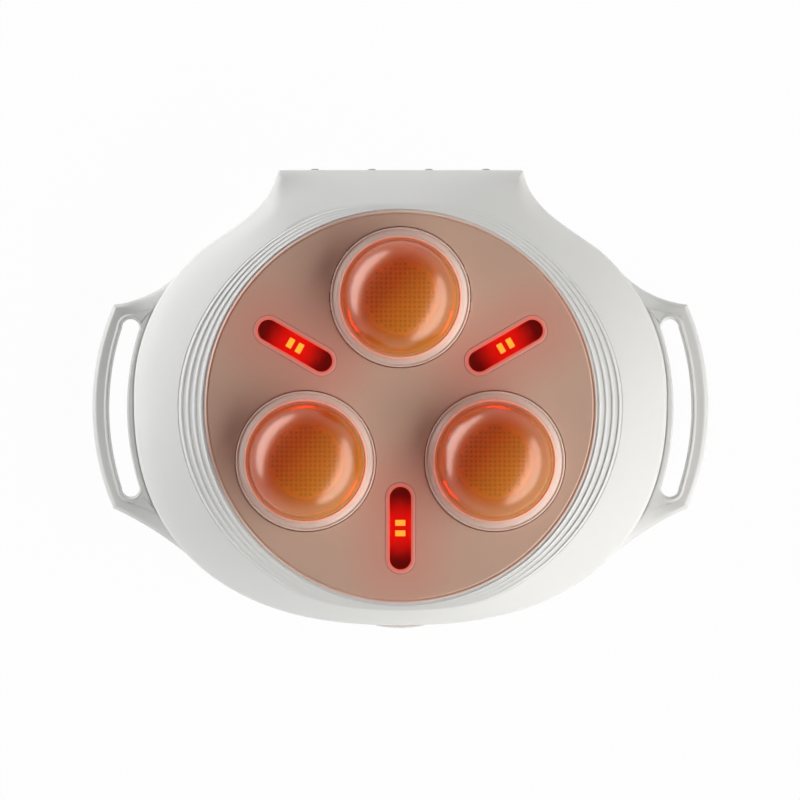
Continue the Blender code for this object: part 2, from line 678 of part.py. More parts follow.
def front_shell_rows():
    every = range(len(OUTLINE))
    rows = [
        [lofted(OUTLINE[i][0], FRONT_BOTTOM_Z) for i in every],
        [lofted(OUTLINE[i][0], edge_height(i)) for i in every],
        [edge_point(i, EDGE_ROUND_TURN / 2) for i in every],
    ]
    rows += [[crown_point(i, share) for i in every] for share in (0, *CROWN_ROW_SHARES)]
    for rib in reversed(range(RIB_COUNT)):
        nose_x = RIB_FIRST_X + rib * RIB_PITCH
        nose_y = PANEL_HOLE_RADIUS + (2 * rib + 1) * RIB_CLOSED_PITCH
        for out, half_width, half_height in (
            (rib + 1, nose_x + RIB_RISER, nose_y + RIB_CLOSED_PITCH),
            (rib, nose_x, nose_y),
        ):
            rows.append([
                lofted(oval_point(i, half_width, half_height), PANEL_TOP_Z - out * RIB_DROP * rib_fade(i))
                for i in every
            ])
    for radius, height in (
        (PANEL_HOLE_RADIUS, PANEL_TOP_Z),
        (PANEL_HOLE_RADIUS, LEDGE_TOP_Z),
        (LEDGE_RADIUS, LEDGE_TOP_Z),
        (LEDGE_RADIUS, LEDGE_BOTTOM_Z),
    ):
        rows.append([lofted(oval_point(i, radius, radius), height) for i in every])
    rows.append([
        lofted(
            oval_point(i, RIB_OUTER_X - RIB_RISER, RIB_OUTER_Y),
            min(rib_foot_height(i) - WALL, LEDGE_BOTTOM_Z),
        )
        for i in every
    ])
    inset = WALL + INNER_EDGE_INSET
    rows.append([lofted(drawn_in(i, inset), edge_height(i) + INNER_EDGE_RISE) for i in every])
    rows.append([lofted(drawn_in(i, WALL), edge_height(i) - INNER_EDGE_RISE / 2) for i in every])
    rows.append([lofted(drawn_in(i, WALL), FRONT_BOTTOM_Z) for i in every])
    return rows


def button_x(index):
    return (index - (len(BUTTON_NAMES) - 1) / 2) * BUTTON_PITCH


def screw_places():
    """Name and foot of each case screw, right and left."""
    places = []
    for name, turn in SCREW_TURNS.items():
        reach, power = (BODY_REACH_UP, BODY_UP_POWER) if turn > 0 else (BODY_REACH_DOWN, BODY_DOWN_POWER)
        edge = superellipse(turn, reach, power)
        x, y = edge - SCREW_INSETS[name] * Vector((math.cos(turn), math.sin(turn)))
        places += [(f"{name}_{side}", (sign * x, y, 0)) for side, sign in SIDES.items()]
    return places


def front_shell():
    shell = loft_half("front_shell", front_shell_rows(), WHITE_SATIN, closed=True)
    feet = [place for name, place in screw_places()]
    join(shell, rods("front_bosses", feet, FRONT_BOSS_RADIUS, FRONT_BOTTOM_Z, BOSS_TOP_Z, BOSS_STEPS))
    bore, bore_end = SCREW_SHANK_RADIUS + GAP, SCREW_SEAT_Z + SCREW_LENGTH + OVERRUN
    cut(shell, rods("front_bores", feet, bore, PARTING_Z - OVERRUN, bore_end, SCREW_STEPS))
    openings = [(button_x(i), 0, BUTTON_Z) for i in range(len(BUTTON_NAMES))]
    cut(shell, rods(
        "button_holes", openings, BUTTON_RADIUS + GAP,
        NECK_TOP_Y - WALL - OVERRUN, NECK_TOP_Y + OVERRUN, BUTTON_STEPS, "Y",
    ))
    wall_inside = BOTTOM_WALL_Y + WALL
    cut(shell, plug_shape("plug_hole", GAP, BOTTOM_WALL_Y - OVERRUN, wall_inside + OVERRUN, CUTTERS))
    smooth(shell)


def plug_shape(name, clearance, start, end, collection, surface=None):
    """A rounded slab in the bottom wall, as thick along Y as its start and end say."""
    half_width = PLUG_WIDTH / 2 + clearance
    half_height = PLUG_HEIGHT / 2 + clearance
    low = (-half_width, start, PLUG_Z - half_height)
    high = (half_width, end, PLUG_Z + half_height)
    slab = box(name, low, high, surface, collection)
    bevel = slab.modifiers.new("round", "BEVEL")
    bevel.width = PLUG_ROUND + clearance
    bevel.segments = PLUG_ROUND_STEPS
    bevel.limit_method = "WEIGHT"
    weights = slab.data.attributes.new("bevel_weight_edge", "FLOAT", "EDGE")
    for edge in slab.data.edges:
        ends = [slab.data.vertices[i].co for i in edge.vertices]
        weights.data[edge.index].value = float(abs(ends[0].y - ends[1].y) > GAP)
    return slab


# Back shell with its strap loops

def back_shell_rows():
    every = range(len(OUTLINE))
    outer = [
        [lofted(OUTLINE[i][0] * reach, BACK_TOP_Z * height) for i in every] for reach, height in DISH_SHARES
    ]
    inner = [
        [
            lofted(drawn_in(i, WALL) * reach, FLOOR_Z + (BACK_TOP_Z - FLOOR_Z) * height)
            for i in every
        ]
        for reach, height in DISH_SHARES[::-2]
    ]
    return outer + inner


def arc(middle_x, middle_y, radius, low_y, high_y, steps):
    """Points of an arc that bulges to +X, from a low to a high Y."""
    points = []
    for i in range(steps + 1):
        y = low_y + (high_y - low_y) * i / steps
        points.append((middle_x + math.sqrt(radius ** 2 - (y - middle_y) ** 2), y))
    return points


def sagging(start, end, sag, steps):
    """Points between two ends on a shallow curve that sags to the left of the way there."""
    run = Vector(end) - Vector(start)
    side = Vector((-run.y, run.x)).normalized()
    points = []
    for i in range(1, steps):
        share = i / steps
        points.append(tuple(Vector(start) + run * share + side * sag * 4 * share * (1 - share)))
    return points


def outline_x(y):
    """Half width of the case at a height, between the bottom and the neck's foot."""
    reach, power = (BODY_REACH_UP, BODY_UP_POWER) if y > BODY_MID_Y else (BODY_REACH_DOWN, BODY_DOWN_POWER)
    return BODY_HALF_WIDTH * (1 - (abs(y - BODY_MID_Y) / reach) ** power) ** (1 / power)


def loop_outline():
    """Right strap loop: the outer bar, the webs, and a root inside the back shell's wall."""
    middle_y = (LOOP_TOP_Y + LOOP_BOTTOM_Y) / 2
    middle_x = LOOP_REACH - LOOP_BAR_RADIUS
    bar = arc(middle_x, middle_y, LOOP_BAR_RADIUS, LOOP_BOTTOM_Y, LOOP_TOP_Y, LOOP_BAR_STEPS)
    web_top = (outline_x(WEB_TOP_Y) - GAP, WEB_TOP_Y)
    web_bottom = (outline_x(WEB_BOTTOM_Y) - GAP, WEB_BOTTOM_Y)
    root = []
    for i in range(LOOP_ROOT_STEPS + 1):
        y = WEB_TOP_Y + (WEB_BOTTOM_Y - WEB_TOP_Y) * i / LOOP_ROOT_STEPS
        root.append((outline_x(y) * LOOP_ROOT_SHARE, y * LOOP_ROOT_SHARE))
    return (
        bar
        + sagging(bar[-1], web_top, WEB_TOP_SAG, WEB_STEPS) + [web_top]
        + root
        + [web_bottom] + sagging(web_bottom, bar[0], WEB_BOTTOM_SAG, WEB_STEPS)
    )


def slot_outline():
    """Right belt slot: two arcs with round ends."""
    width = SLOT_OUTER_X - SLOT_INNER_X
    low, high = SLOT_MID_Y - SLOT_HALF_LENGTH + width / 2, SLOT_MID_Y + SLOT_HALF_LENGTH - width / 2
    outer = arc(SLOT_OUTER_X - SLOT_OUTER_RADIUS, SLOT_MID_Y, SLOT_OUTER_RADIUS, low, high, SLOT_STEPS)
    inner = arc(SLOT_INNER_X - SLOT_INNER_RADIUS, SLOT_MID_Y, SLOT_INNER_RADIUS, low, high, SLOT_STEPS)

    def round_end(start, end):
        middle = (Vector(start) + Vector(end)) / 2
        arm = Vector(start) - middle
        turns = [math.pi * i / SLOT_END_STEPS for i in range(1, SLOT_END_STEPS)]
        return [tuple(middle + Matrix.Rotation(turn, 2) @ arm) for turn in turns]

    return outer + round_end(outer[-1], inner[-1]) + inner[::-1] + round_end(inner[0], outer[0])


def mirrored(outline):
    return [(-x, y) for x, y in reversed(outline)]


def back_shell():
    shell = loft_half("back_shell", back_shell_rows(), WHITE_SATIN, closed=False)
    feet = [place for name, place in screw_places()]
    for side, sign in SIDES.items():
        outlines = [loop_outline(), slot_outline()]
        if sign < 0:
            outlines = [mirrored(outline) for outline in outlines]
        loop = outline_plate("strap_loop_" + side, outlines, LOOP_BOTTOM_Z, LOOP_THICKNESS, None, CUTTERS)
        join(shell, loop)
    inside_floor = FLOOR_Z - BOSS_SINK
    posts = post_places().values()
    join(
        shell,
        rods("back_bosses", feet, BACK_BOSS_RADIUS, inside_floor, BACK_TOP_Z, BOSS_STEPS),
        rods("plate_posts", posts, POST_RADIUS, inside_floor, GEAR_PLATE_BOTTOM_Z - GAP, POST_STEPS),
        rods("bush_seat", [(0, 0, 0)], BUSH_RADIUS + GAP + BUSH_SEAT_WALL, inside_floor,
             FLOOR_Z + LOWER_BUSH_HEIGHT - GAP, SHAFT_STEPS),
    )
    for number, share in enumerate(CRADLE_PLACES_SHARE):
        middle = MOTOR_START_X + MOTOR_LENGTH * share
        low = (middle - CRADLE_WIDTH / 2, MOTOR_AXIS_Y - MOTOR_RADIUS, inside_floor)
        high = (middle + CRADLE_WIDTH / 2, MOTOR_AXIS_Y + MOTOR_RADIUS, FLOOR_Z + CRADLE_HEIGHT)
        join(shell, box(f"motor_cradle_{number + 1}", low, high, None, CUTTERS))
    for side, sign in SIDES.items():
        middle = sign * RAIL_X
        low = (middle - RAIL_WIDTH / 2, RAIL_FACE_Y - RAIL_DEPTH, FLOOR_Z + FOOT_RISE)
        high = (middle + RAIL_WIDTH / 2, RAIL_FACE_Y, RAIL_TOP_Z)
        join(shell, box("board_rail_" + side, low, high, None, CUTTERS))
    battery_ribs(shell)
    post_width, post_depth = PORT_POST_SIZE
    port_back = PORT_FACE_Y + PORT_SIZE[1]
    low = (-post_width / 2, port_back - post_depth / 2, FLOOR_Z + FOOT_RISE)
    high = (post_width / 2, port_back + post_depth / 2, PORT_BOARD_Z - GAP)
    join(shell, box("port_post", low, high, None, CUTTERS))
    cut(
        shell,
        rods("screw_wells", feet, SCREW_HEAD_RADIUS + GAP, -OVERRUN, SCREW_SEAT_Z, BOSS_STEPS),
        rods("back_bores", feet, SCREW_SHANK_RADIUS + GAP, SCREW_SEAT_Z - OVERRUN, PARTING_Z + OVERRUN,
             SCREW_STEPS),
        rods("bush_pocket", [(0, 0, 0)], BUSH_RADIUS + GAP, FLOOR_Z, FLOOR_Z + LOWER_BUSH_HEIGHT + OVERRUN,
             SHAFT_STEPS),
        rods("motor_bed", [(0, MOTOR_AXIS_Y, MOTOR_AXIS_Z)], MOTOR_RADIUS + GAP, MOTOR_START_X - OVERRUN,
             MOTOR_START_X + MOTOR_LENGTH + OVERRUN, MOTOR_STEPS, "X"),
        rods("post_bores", posts, SMALL_SCREW_SHANK_RADIUS + GAP, GEAR_PLATE_TOP_Z - PLATE_SCREW_LENGTH - GAP,
             GEAR_PLATE_BOTTOM_Z + OVERRUN, SMALL_SCREW_STEPS),
        rods("rail_bores", board_screw_places().values(), SMALL_SCREW_SHANK_RADIUS + GAP,
             RAIL_FACE_Y - RAIL_DEPTH - OVERRUN, RAIL_FACE_Y + OVERRUN, SMALL_SCREW_STEPS, "Y"),
    )
    smooth(shell)


def post_places():
    """Foot of each post under the gear plate, one between each two heads."""
    return {side: (*polar(POST_ORBIT, angle), 0) for side, angle in WINDOW_ANGLES.items()}


def board_screw_places():
    return {side: (sign * RAIL_X, 0, BOARD_SCREW_Z) for side, sign in SIDES.items()}


def battery_ribs(shell):
    """Low ribs on the floor at the battery's two ends and along its inner side."""
    width, depth, height = BATTERY_SIZE
    bottom, top = FLOOR_Z - BOSS_SINK, FLOOR_Z + BATTERY_RIB_HEIGHT
    end = width / 2 + GAP
    reach = depth / 2 - BATTERY_RIB_SHORT
    for side, sign in SIDES.items():
        near, far = sorted((sign * end, sign * (end + BATTERY_RIB_WIDTH)))
        low = (near, BATTERY_MID_Y - reach, bottom)
        high = (far, BATTERY_MID_Y + reach, top)
        join(shell, box("battery_rib_" + side, low, high, None, CUTTERS))
    front = BATTERY_MID_Y - depth / 2 - GAP
    low = (BATTERY_RIB_SHORT - width / 2, front - BATTERY_RIB_WIDTH, bottom)
    high = (width / 2 - BATTERY_RIB_SHORT, front, top)
    join(shell, box("battery_rib_front", low, high, None, CUTTERS))


# Face panel

def face_panel():
    """A chamfered disc with a round hole for each head and a slot for each light window."""
    shape = bmesh.new()
    middle_z = PANEL_TOP_Z - PANEL_THICKNESS / 2
    bmesh.ops.create_cone(
        shape, cap_ends=True, segments=PANEL_STEPS, radius1=PANEL_RADIUS, radius2=PANEL_RADIUS,
        depth=PANEL_THICKNESS, matrix=Matrix.Translation((0, 0, middle_z)),
    )
    rim = [edge for edge in shape.edges if all(end.co.z > middle_z for end in edge.verts)]
    bmesh.ops.bevel(shape, geom=rim, offset=PANEL_CHAMFER, segments=1, affect="EDGES")
    panel = add_object("face_panel", mesh_from("face_panel", shape), CHAMPAGNE_PINK)
    middles = [polar(HEAD_ORBIT, angle) for angle in HEAD_ANGLES.values()]
    holes = [circle(HEAD_HOLE_RADIUS, HEAD_HOLE_STEPS, *middle) for middle in middles]
    holes += [window_outline(side, 0) for side in WINDOW_ANGLES]
    depth = PANEL_THICKNESS + 2 * OVERRUN
    cut(panel, outline_plate("panel_holes", holes, PANEL_BOTTOM_Z - OVERRUN, depth, None, CUTTERS))
    smooth(panel)


# Kneading heads

def dome_profile():
    """An open-bottomed cap: a short upright wall, then a flattened round top."""
    foot = HUB_DISC_TOP_Z + GAP
    rise = DOME_TOP_Z - DOME_SHOULDER_Z
    bore = DOME_RADIUS - DOME_WALL

    def cap(radius, height, steps):
        turns = [math.pi / 2 * i / steps for i in range(steps + 1)]
        return [(radius * math.sin(turn), DOME_SHOULDER_Z + height * math.cos(turn)) for turn in turns]

    outer = cap(DOME_RADIUS, rise, DOME_ARC_STEPS)
    inner = cap(bore, rise - DOME_WALL, DOME_BORE_ARC_STEPS)
    return outer + [(DOME_RADIUS, foot), (bore, foot)] + inner[::-1]


def skirt_profile():
    """A ring that rises from the panel to a lip round the dome."""
    bore = DOME_RADIUS + GAP
    lip = bore + SKIRT_LIP_WIDTH
    seat = HUB_DISC_TOP_Z + GAP
    mid = (lip + SKIRT_RADIUS) / 2
    mid_z = SKIRT_SHOULDER_Z + SKIRT_RISE * SKIRT_MID_SHARE
    return [
        (lip, SKIRT_LIP_Z),
        (mid, mid_z),
        (SKIRT_RADIUS, SKIRT_SHOULDER_Z),
        (SKIRT_RADIUS, HUB_DISC_Z),
        (SKIRT_RADIUS - SKIRT_FLANGE, HUB_DISC_Z),
        (SKIRT_RADIUS - SKIRT_FLANGE, seat),
        (bore, seat),
        (bore, SKIRT_LIP_Z),
    ]


def hub_profile():
    """A sleeve on the axle that carries the gear below and the dome and skirt above."""
    bore = AXLE_RADIUS + GAP
    shoulder_z = GEAR_TOP_Z + GAP
    return [
        (HUB_DISC_RADIUS, HUB_DISC_TOP_Z),
        (HUB_DISC_RADIUS, HUB_DISC_Z),
        (HUB_SHOULDER_RADIUS, HUB_DISC_Z),
        (HUB_SHOULDER_RADIUS, shoulder_z),
        (HUB_SLEEVE_RADIUS, shoulder_z),
        (HUB_SLEEVE_RADIUS, AXLE_FLANGE_TOP_Z + GAP),
        (bore, AXLE_FLANGE_TOP_Z + GAP),
        (bore, HUB_DISC_TOP_Z),
    ]


def axle_profile():
    """A fixed pin on the gear plate, with a flange below the hub and a collar above it."""
    collar_z = HUB_DISC_TOP_Z + GAP
    return [
        (0, AXLE_TOP_Z),
        (AXLE_RADIUS, AXLE_TOP_Z),
        (AXLE_RADIUS, collar_z + AXLE_COLLAR_THICKNESS),
        (AXLE_COLLAR_RADIUS, collar_z + AXLE_COLLAR_THICKNESS),
        (AXLE_COLLAR_RADIUS, collar_z),
        (AXLE_RADIUS, collar_z),
        (AXLE_RADIUS, AXLE_FLANGE_TOP_Z),
        (AXLE_FLANGE_RADIUS, AXLE_FLANGE_TOP_Z),
        (AXLE_FLANGE_RADIUS, GEAR_PLATE_TOP_Z + GAP),
        (0, GEAR_PLATE_TOP_Z + GAP),
    ]


def heater_profile():
    bottom = AXLE_TOP_Z + GAP
    top = bottom + HEATER_THICKNESS
    return [(0, top), (HEATER_RADIUS, top), (HEATER_RADIUS, bottom), (0, bottom)]


def kneading_heads():
    for side, angle in HEAD_ANGLES.items():
        place = (*polar(HEAD_ORBIT, angle), 0)
        pieces = [
            turned("head_skirt_" + side, skirt_profile(), PALE_SILICONE, SKIRT_STEPS),
            turned("head_dome_" + side, dome_profile(), AMBER, DOME_STEPS, closed=False),
            turned("head_hub_" + side, hub_profile(), IVORY_ACETAL, HUB_STEPS),
            turned("head_axle_" + side, axle_profile(), STEEL, AXLE_STEPS, closed=False),
            turned("heater_plate_" + side, heater_profile(), HEATER_BLACK, HEATER_STEPS, closed=False),
        ]
        teeth = gear_outline(HEAD_TEETH, HEAD_MODULE, head_gear_phase(angle))
        outlines = [teeth, circle(HUB_SLEEVE_RADIUS + GAP, HUB_STEPS)]
        pieces.append(outline_plate("head_gear_" + side, outlines, GEAR_BOTTOM_Z, GEAR_WIDTH, IVORY_ACETAL))
        for piece in pieces:
            piece.location = place


# Gears

def involute(angle):
    return math.tan(angle) - angle


def gear_outline(teeth, module, phase):
    """Stub teeth with flanks that follow the involute at root and tip; a tooth points at the phase angle."""
    pitch = module * teeth / 2
    base = pitch * math.cos(PRESSURE_ANGLE)
    root = pitch - TOOTH_ROOT_SHARE * module
    tip = pitch + TOOTH_TIP_SHARE * module

    def half_width(radius):
        slope = math.acos(base / radius) if radius > base else 0
        half_tooth = math.pi / (2 * teeth) - TOOTH_BACKLASH / (2 * pitch)
        return half_tooth + involute(PRESSURE_ANGLE) - involute(slope)

    points = []
    for tooth in range(teeth):
        middle = phase + math.tau * tooth / teeth
        for radius, side in ((root, -1), (tip, -1), (tip, 1), (root, 1)):
            angle = middle + side * half_width(radius)
            points.append((radius * math.cos(angle), radius * math.sin(angle)))
    return points


def head_gear_phase(towards_head):
    """Turn a head's gear so that one of its spaces takes the sun's nearest tooth."""
    sun_pitch = math.tau / SUN_TEETH
    nearest = round(towards_head / sun_pitch) * sun_pitch
    offset = nearest - towards_head
    facing_sun = towards_head + math.pi
    space = facing_sun - offset * SUN_TEETH / HEAD_TEETH
    return space + math.pi / HEAD_TEETH


def sun_and_wheel():
    sun = [gear_outline(SUN_TEETH, HEAD_MODULE, 0), circle(SHAFT_BORE, SHAFT_STEPS)]
    outline_plate("sun_gear", sun, GEAR_BOTTOM_Z, GEAR_WIDTH, IVORY_ACETAL)
    facing_worm = -math.pi / 2
    outline = gear_outline(WHEEL_TEETH, WHEEL_MODULE, facing_worm + math.pi / WHEEL_TEETH)
    bottom = MOTOR_AXIS_Z - WHEEL_WIDTH / 2
    outlines = [outline, circle(SHAFT_BORE, SHAFT_STEPS)]
    wheel = outline_plate("worm_wheel", outlines, bottom, WHEEL_WIDTH, IVORY_ACETAL)
    for vertex in wheel.data.vertices:
        turn = WHEEL_TWIST * (vertex.co.z - MOTOR_AXIS_Z)
        vertex.co = Matrix.Rotation(turn, 3, "Z") @ vertex.co


def worm():
    """A one-start screw: each column of points follows the thread profile at one turn angle."""
    root = WORM_PITCH_RADIUS - TOOTH_ROOT_SHARE * WHEEL_MODULE
    crest = WORM_PITCH_RADIUS + TOOTH_TIP_SHARE * WHEEL_MODULE
    half_pitch_width = WORM_LEAD / 4 - TOOTH_BACKLASH / 2
    crest_half = half_pitch_width - TOOTH_TIP_SHARE * WHEEL_MODULE * math.tan(PRESSURE_ANGLE)
    root_half = half_pitch_width + TOOTH_ROOT_SHARE * WHEEL_MODULE * math.tan(PRESSURE_ANGLE)
    thread = ((-root_half, root), (-crest_half, crest), (crest_half, crest), (root_half, root))
    half_turns = math.ceil(WORM_LENGTH / WORM_LEAD / 2) + 1
    end = WORM_LENGTH / 2
    shape = bmesh.new()
    columns = []
    for step in range(WORM_STEPS + 1):
        turn = step / WORM_STEPS
        column = []
        for pitch in range(-half_turns - 1, half_turns + 1):
            for along, radius in thread:
                x = (pitch + turn) * WORM_LEAD + along
                if abs(x) > end:
                    x = math.copysign(end, x)
                    radius = root
                angle = math.tau * turn
                column.append(shape.verts.new((x, radius * math.cos(angle), radius * math.sin(angle))))
        columns.append(column)
    for before, after in zip(columns, columns[1:]):
        for i in range(len(before) - 1):
            shape.faces.new((before[i], before[i + 1], after[i + 1], after[i]))
    bmesh.ops.remove_doubles(shape, verts=shape.verts, dist=GAP / 30)
    bmesh.ops.holes_fill(shape, edges=[edge for edge in shape.edges if edge.is_boundary])
    piece = add_object("worm", mesh_from("worm", shape), STEEL)
    piece.location = (0, MOTOR_AXIS_Y, MOTOR_AXIS_Z)
    stub_end = -end - 2 * GAP - BEARING_LENGTH
    shaft_end = MOTOR_START_X + MOTOR_SHAFT_DEPTH - GAP
    middle = [(0, MOTOR_AXIS_Y, MOTOR_AXIS_Z)]
    join(piece, rods("worm_stub", middle, WORM_STUB_RADIUS, stub_end, -end + OVERRUN, AXLE_STEPS, "X"))
    join(piece, rods("motor_shaft", middle, MOTOR_SHAFT_RADIUS, end - OVERRUN, shaft_end, AXLE_STEPS, "X"))


def motor():
    nose_end = MOTOR_LENGTH + MOTOR_NOSE_LENGTH
    bore = MOTOR_SHAFT_RADIUS + GAP
    profile = [
        (bore, nose_end),
        (MOTOR_NOSE_RADIUS, nose_end),
        (MOTOR_NOSE_RADIUS, MOTOR_LENGTH),
        (MOTOR_RADIUS, MOTOR_LENGTH),
        (MOTOR_RADIUS, 0),
        (0, 0),
        (0, MOTOR_LENGTH - MOTOR_SHAFT_DEPTH),
        (bore, MOTOR_LENGTH - MOTOR_SHAFT_DEPTH),
    ]
    can = turned("motor", profile, STEEL, MOTOR_STEPS)
    can.rotation_euler = (0, -math.pi / 2, 0)
    can.location = (MOTOR_START_X + MOTOR_LENGTH, MOTOR_AXIS_Y, MOTOR_AXIS_Z)


def worm_bearing():
    """A block on the floor that carries the worm's free end."""
    face = -WORM_LENGTH / 2 - GAP
    low = (face - BEARING_LENGTH, MOTOR_AXIS_Y - BEARING_HALF_WIDTH, FLOOR_Z + GAP)
    high = (face, MOTOR_AXIS_Y + BEARING_HALF_WIDTH, MOTOR_AXIS_Z + BEARING_HEAD_ROOM)
    block = box("worm_bearing", low, high, IVORY_ACETAL)
    middle = [(0, MOTOR_AXIS_Y, MOTOR_AXIS_Z)]
    cut(block, rods("worm_bearing_bore", middle, WORM_STUB_RADIUS + GAP, low[0] - OVERRUN, face + OVERRUN,
                    AXLE_STEPS, "X"))


def drive_shaft_and_bushes():
    bottom = FLOOR_Z + GAP
    shaft_top = GEAR_TOP_Z + SHAFT_OVERHANG
    turned("drive_shaft", [
        (0, shaft_top), (SHAFT_RADIUS, shaft_top), (SHAFT_RADIUS, bottom), (0, bottom),
    ], STEEL, SHAFT_STEPS, closed=False)
    bush_top = FLOOR_Z + LOWER_BUSH_HEIGHT
    turned("lower_bush", [
        (BUSH_RADIUS, bush_top), (BUSH_RADIUS, bottom), (SHAFT_BORE, bottom), (SHAFT_BORE, bush_top),
    ], BRONZE, SHAFT_STEPS)
    seat = GEAR_PLATE_TOP_Z + GAP
    top = seat + BUSH_FLANGE_THICKNESS
    flange = BUSH_RADIUS + BUSH_FLANGE
    turned("upper_bush", [
        (flange, top), (flange, seat), (BUSH_RADIUS, seat), (BUSH_RADIUS, GEAR_PLATE_BOTTOM_Z),
        (SHAFT_BORE, GEAR_PLATE_BOTTOM_Z), (SHAFT_BORE, top),
    ], BRONZE, SHAFT_STEPS)


def gear_plate():
    """A three-lobed plate: a lobe under each head, drawn in between them, with posts below the waists."""
    points = []
    half_turn = math.pi
    waist = POST_ORBIT + GEAR_PLATE_WAIST
    for angle in sorted(HEAD_ANGLES.values()):
        x, y = polar(HEAD_ORBIT, angle)
        for i in range(GEAR_PLATE_LOBE_STEPS + 1):
            turn = angle + half_turn * (i / GEAR_PLATE_LOBE_STEPS - 1 / 2)
            points.append((x + GEAR_PLATE_LOBE * math.cos(turn), y + GEAR_PLATE_LOBE * math.sin(turn)))
        next_post = angle + half_turn / len(HEAD_ANGLES)
        for spread in (-GEAR_PLATE_WAIST_SPREAD, GEAR_PLATE_WAIST_SPREAD):
            points.append(polar(waist, next_post + spread))
    holes = [circle(BUSH_RADIUS + GAP, SHAFT_STEPS)]
    holes += [
        circle(SMALL_SCREW_SHANK_RADIUS + GAP, SMALL_SCREW_STEPS, x, y) for x, y, z in post_places().values()
    ]
    outline_plate("gear_plate", [points, *holes], GEAR_PLATE_BOTTOM_Z, GEAR_PLATE_THICKNESS, STEEL)
    for side, place in post_places().items():
        screw = small_screw("plate_screw_" + side, PLATE_SCREW_LENGTH)
        screw.location = Vector(place) + Vector((0, 0, GEAR_PLATE_TOP_Z))


def small_screw(name, length):
    """A pan-head screw that points down from its seat at height 0."""
    head_top = GAP + SMALL_SCREW_HEAD_HEIGHT
    return turned(name, [
        (0, head_top), (SMALL_SCREW_HEAD_RADIUS, head_top), (SMALL_SCREW_HEAD_RADIUS, GAP),
        (SMALL_SCREW_SHANK_RADIUS, GAP), (SMALL_SCREW_SHANK_RADIUS, -length), (0, -length),
    ], STEEL, SMALL_SCREW_STEPS, closed=False)


# Windows and their lights

def light_windows():
    for side in WINDOW_ANGLES:
        lens = [window_outline(side, -GAP)]
        outline_plate("window_lens_" + side, lens, PANEL_BOTTOM_Z, PANEL_THICKNESS - LENS_RECESS, RED_LENS)
        outer = [window_outline(side, TRAY_WALL - GAP)]
        tray = outline_plate("light_tray_" + side, outer, TRAY_BOTTOM_Z, TRAY_HEIGHT, DARK_RED_TRAY)
        pocket = [window_outline(side, -2 * GAP)]
        pocket_bottom = TRAY_BOTTOM_Z + TRAY_FLOOR
        depth = TRAY_TOP_Z - pocket_bottom + OVERRUN
        cut(tray, outline_plate("tray_pocket_" + side, pocket, pocket_bottom, depth, None, CUTTERS))
        light_board(side, pocket_bottom + GAP)


def light_board(side, bottom):
    """A narrow board with two light chips side by side."""
    half_length = WINDOW_LENGTH / 2 - LED_BOARD_END_ROOM
    half_width = WINDOW_WIDTH / 2 - LED_BOARD_SIDE_ROOM
    top = bottom + LED_BOARD_THICKNESS
    low, high = (-half_length, -half_width, bottom), (half_length, half_width, top)
    board = box("light_board_" + side, low, high, BOARD_GREEN)
    board.location = (*polar(WINDOW_ORBIT, WINDOW_ANGLES[side]), 0)
    board.rotation_euler.z = WINDOW_ANGLES[side]
    for number, sign in enumerate(SIDES.values()):
        middle = sign * CHIP_PITCH / 2
        low = (middle - CHIP_ALONG / 2, -CHIP_ACROSS / 2, bottom + LED_BOARD_THICKNESS / 2)
        high = (middle + CHIP_ALONG / 2, CHIP_ACROSS / 2, top + CHIP_HEIGHT)
        chip = box(f"light_chip_{side}_{number + 1}", low, high, None, CUTTERS)
        chip.location = board.location
        chip.rotation_euler = board.rotation_euler
        join(board, chip)


# Buttons, boards, battery, charging port and screws

def buttons():
    """Round keys turned about Y, with a flange inside the wall and a stem that reaches the switch."""
    flange = BUTTON_RADIUS + GAP + BUTTON_FLANGE
    face = NECK_TOP_Y + BUTTON_PROUD
    stem_end = BUTTON_FLANGE_BACK_Y - BUTTON_STEM
    profile = [
        (0, face), (BUTTON_RADIUS * BUTTON_CROWN_SHARE, face - BUTTON_CROWN_DROP),
        (BUTTON_RADIUS, face - BUTTON_EDGE_DROP), (BUTTON_RADIUS, BUTTON_FLANGE_FRONT_Y),
        (flange, BUTTON_FLANGE_FRONT_Y), (flange, BUTTON_FLANGE_BACK_Y),
        (BUTTON_STEM_RADIUS, BUTTON_FLANGE_BACK_Y), (BUTTON_STEM_RADIUS, stem_end), (0, stem_end),
    ]
    for number, name in enumerate(BUTTON_NAMES):
        key = turned(name + "_button", profile, GREY_BUTTON, BUTTON_STEPS, closed=False)
        key.rotation_euler.x = -math.pi / 2
        key.location = (button_x(number), 0, BUTTON_Z)


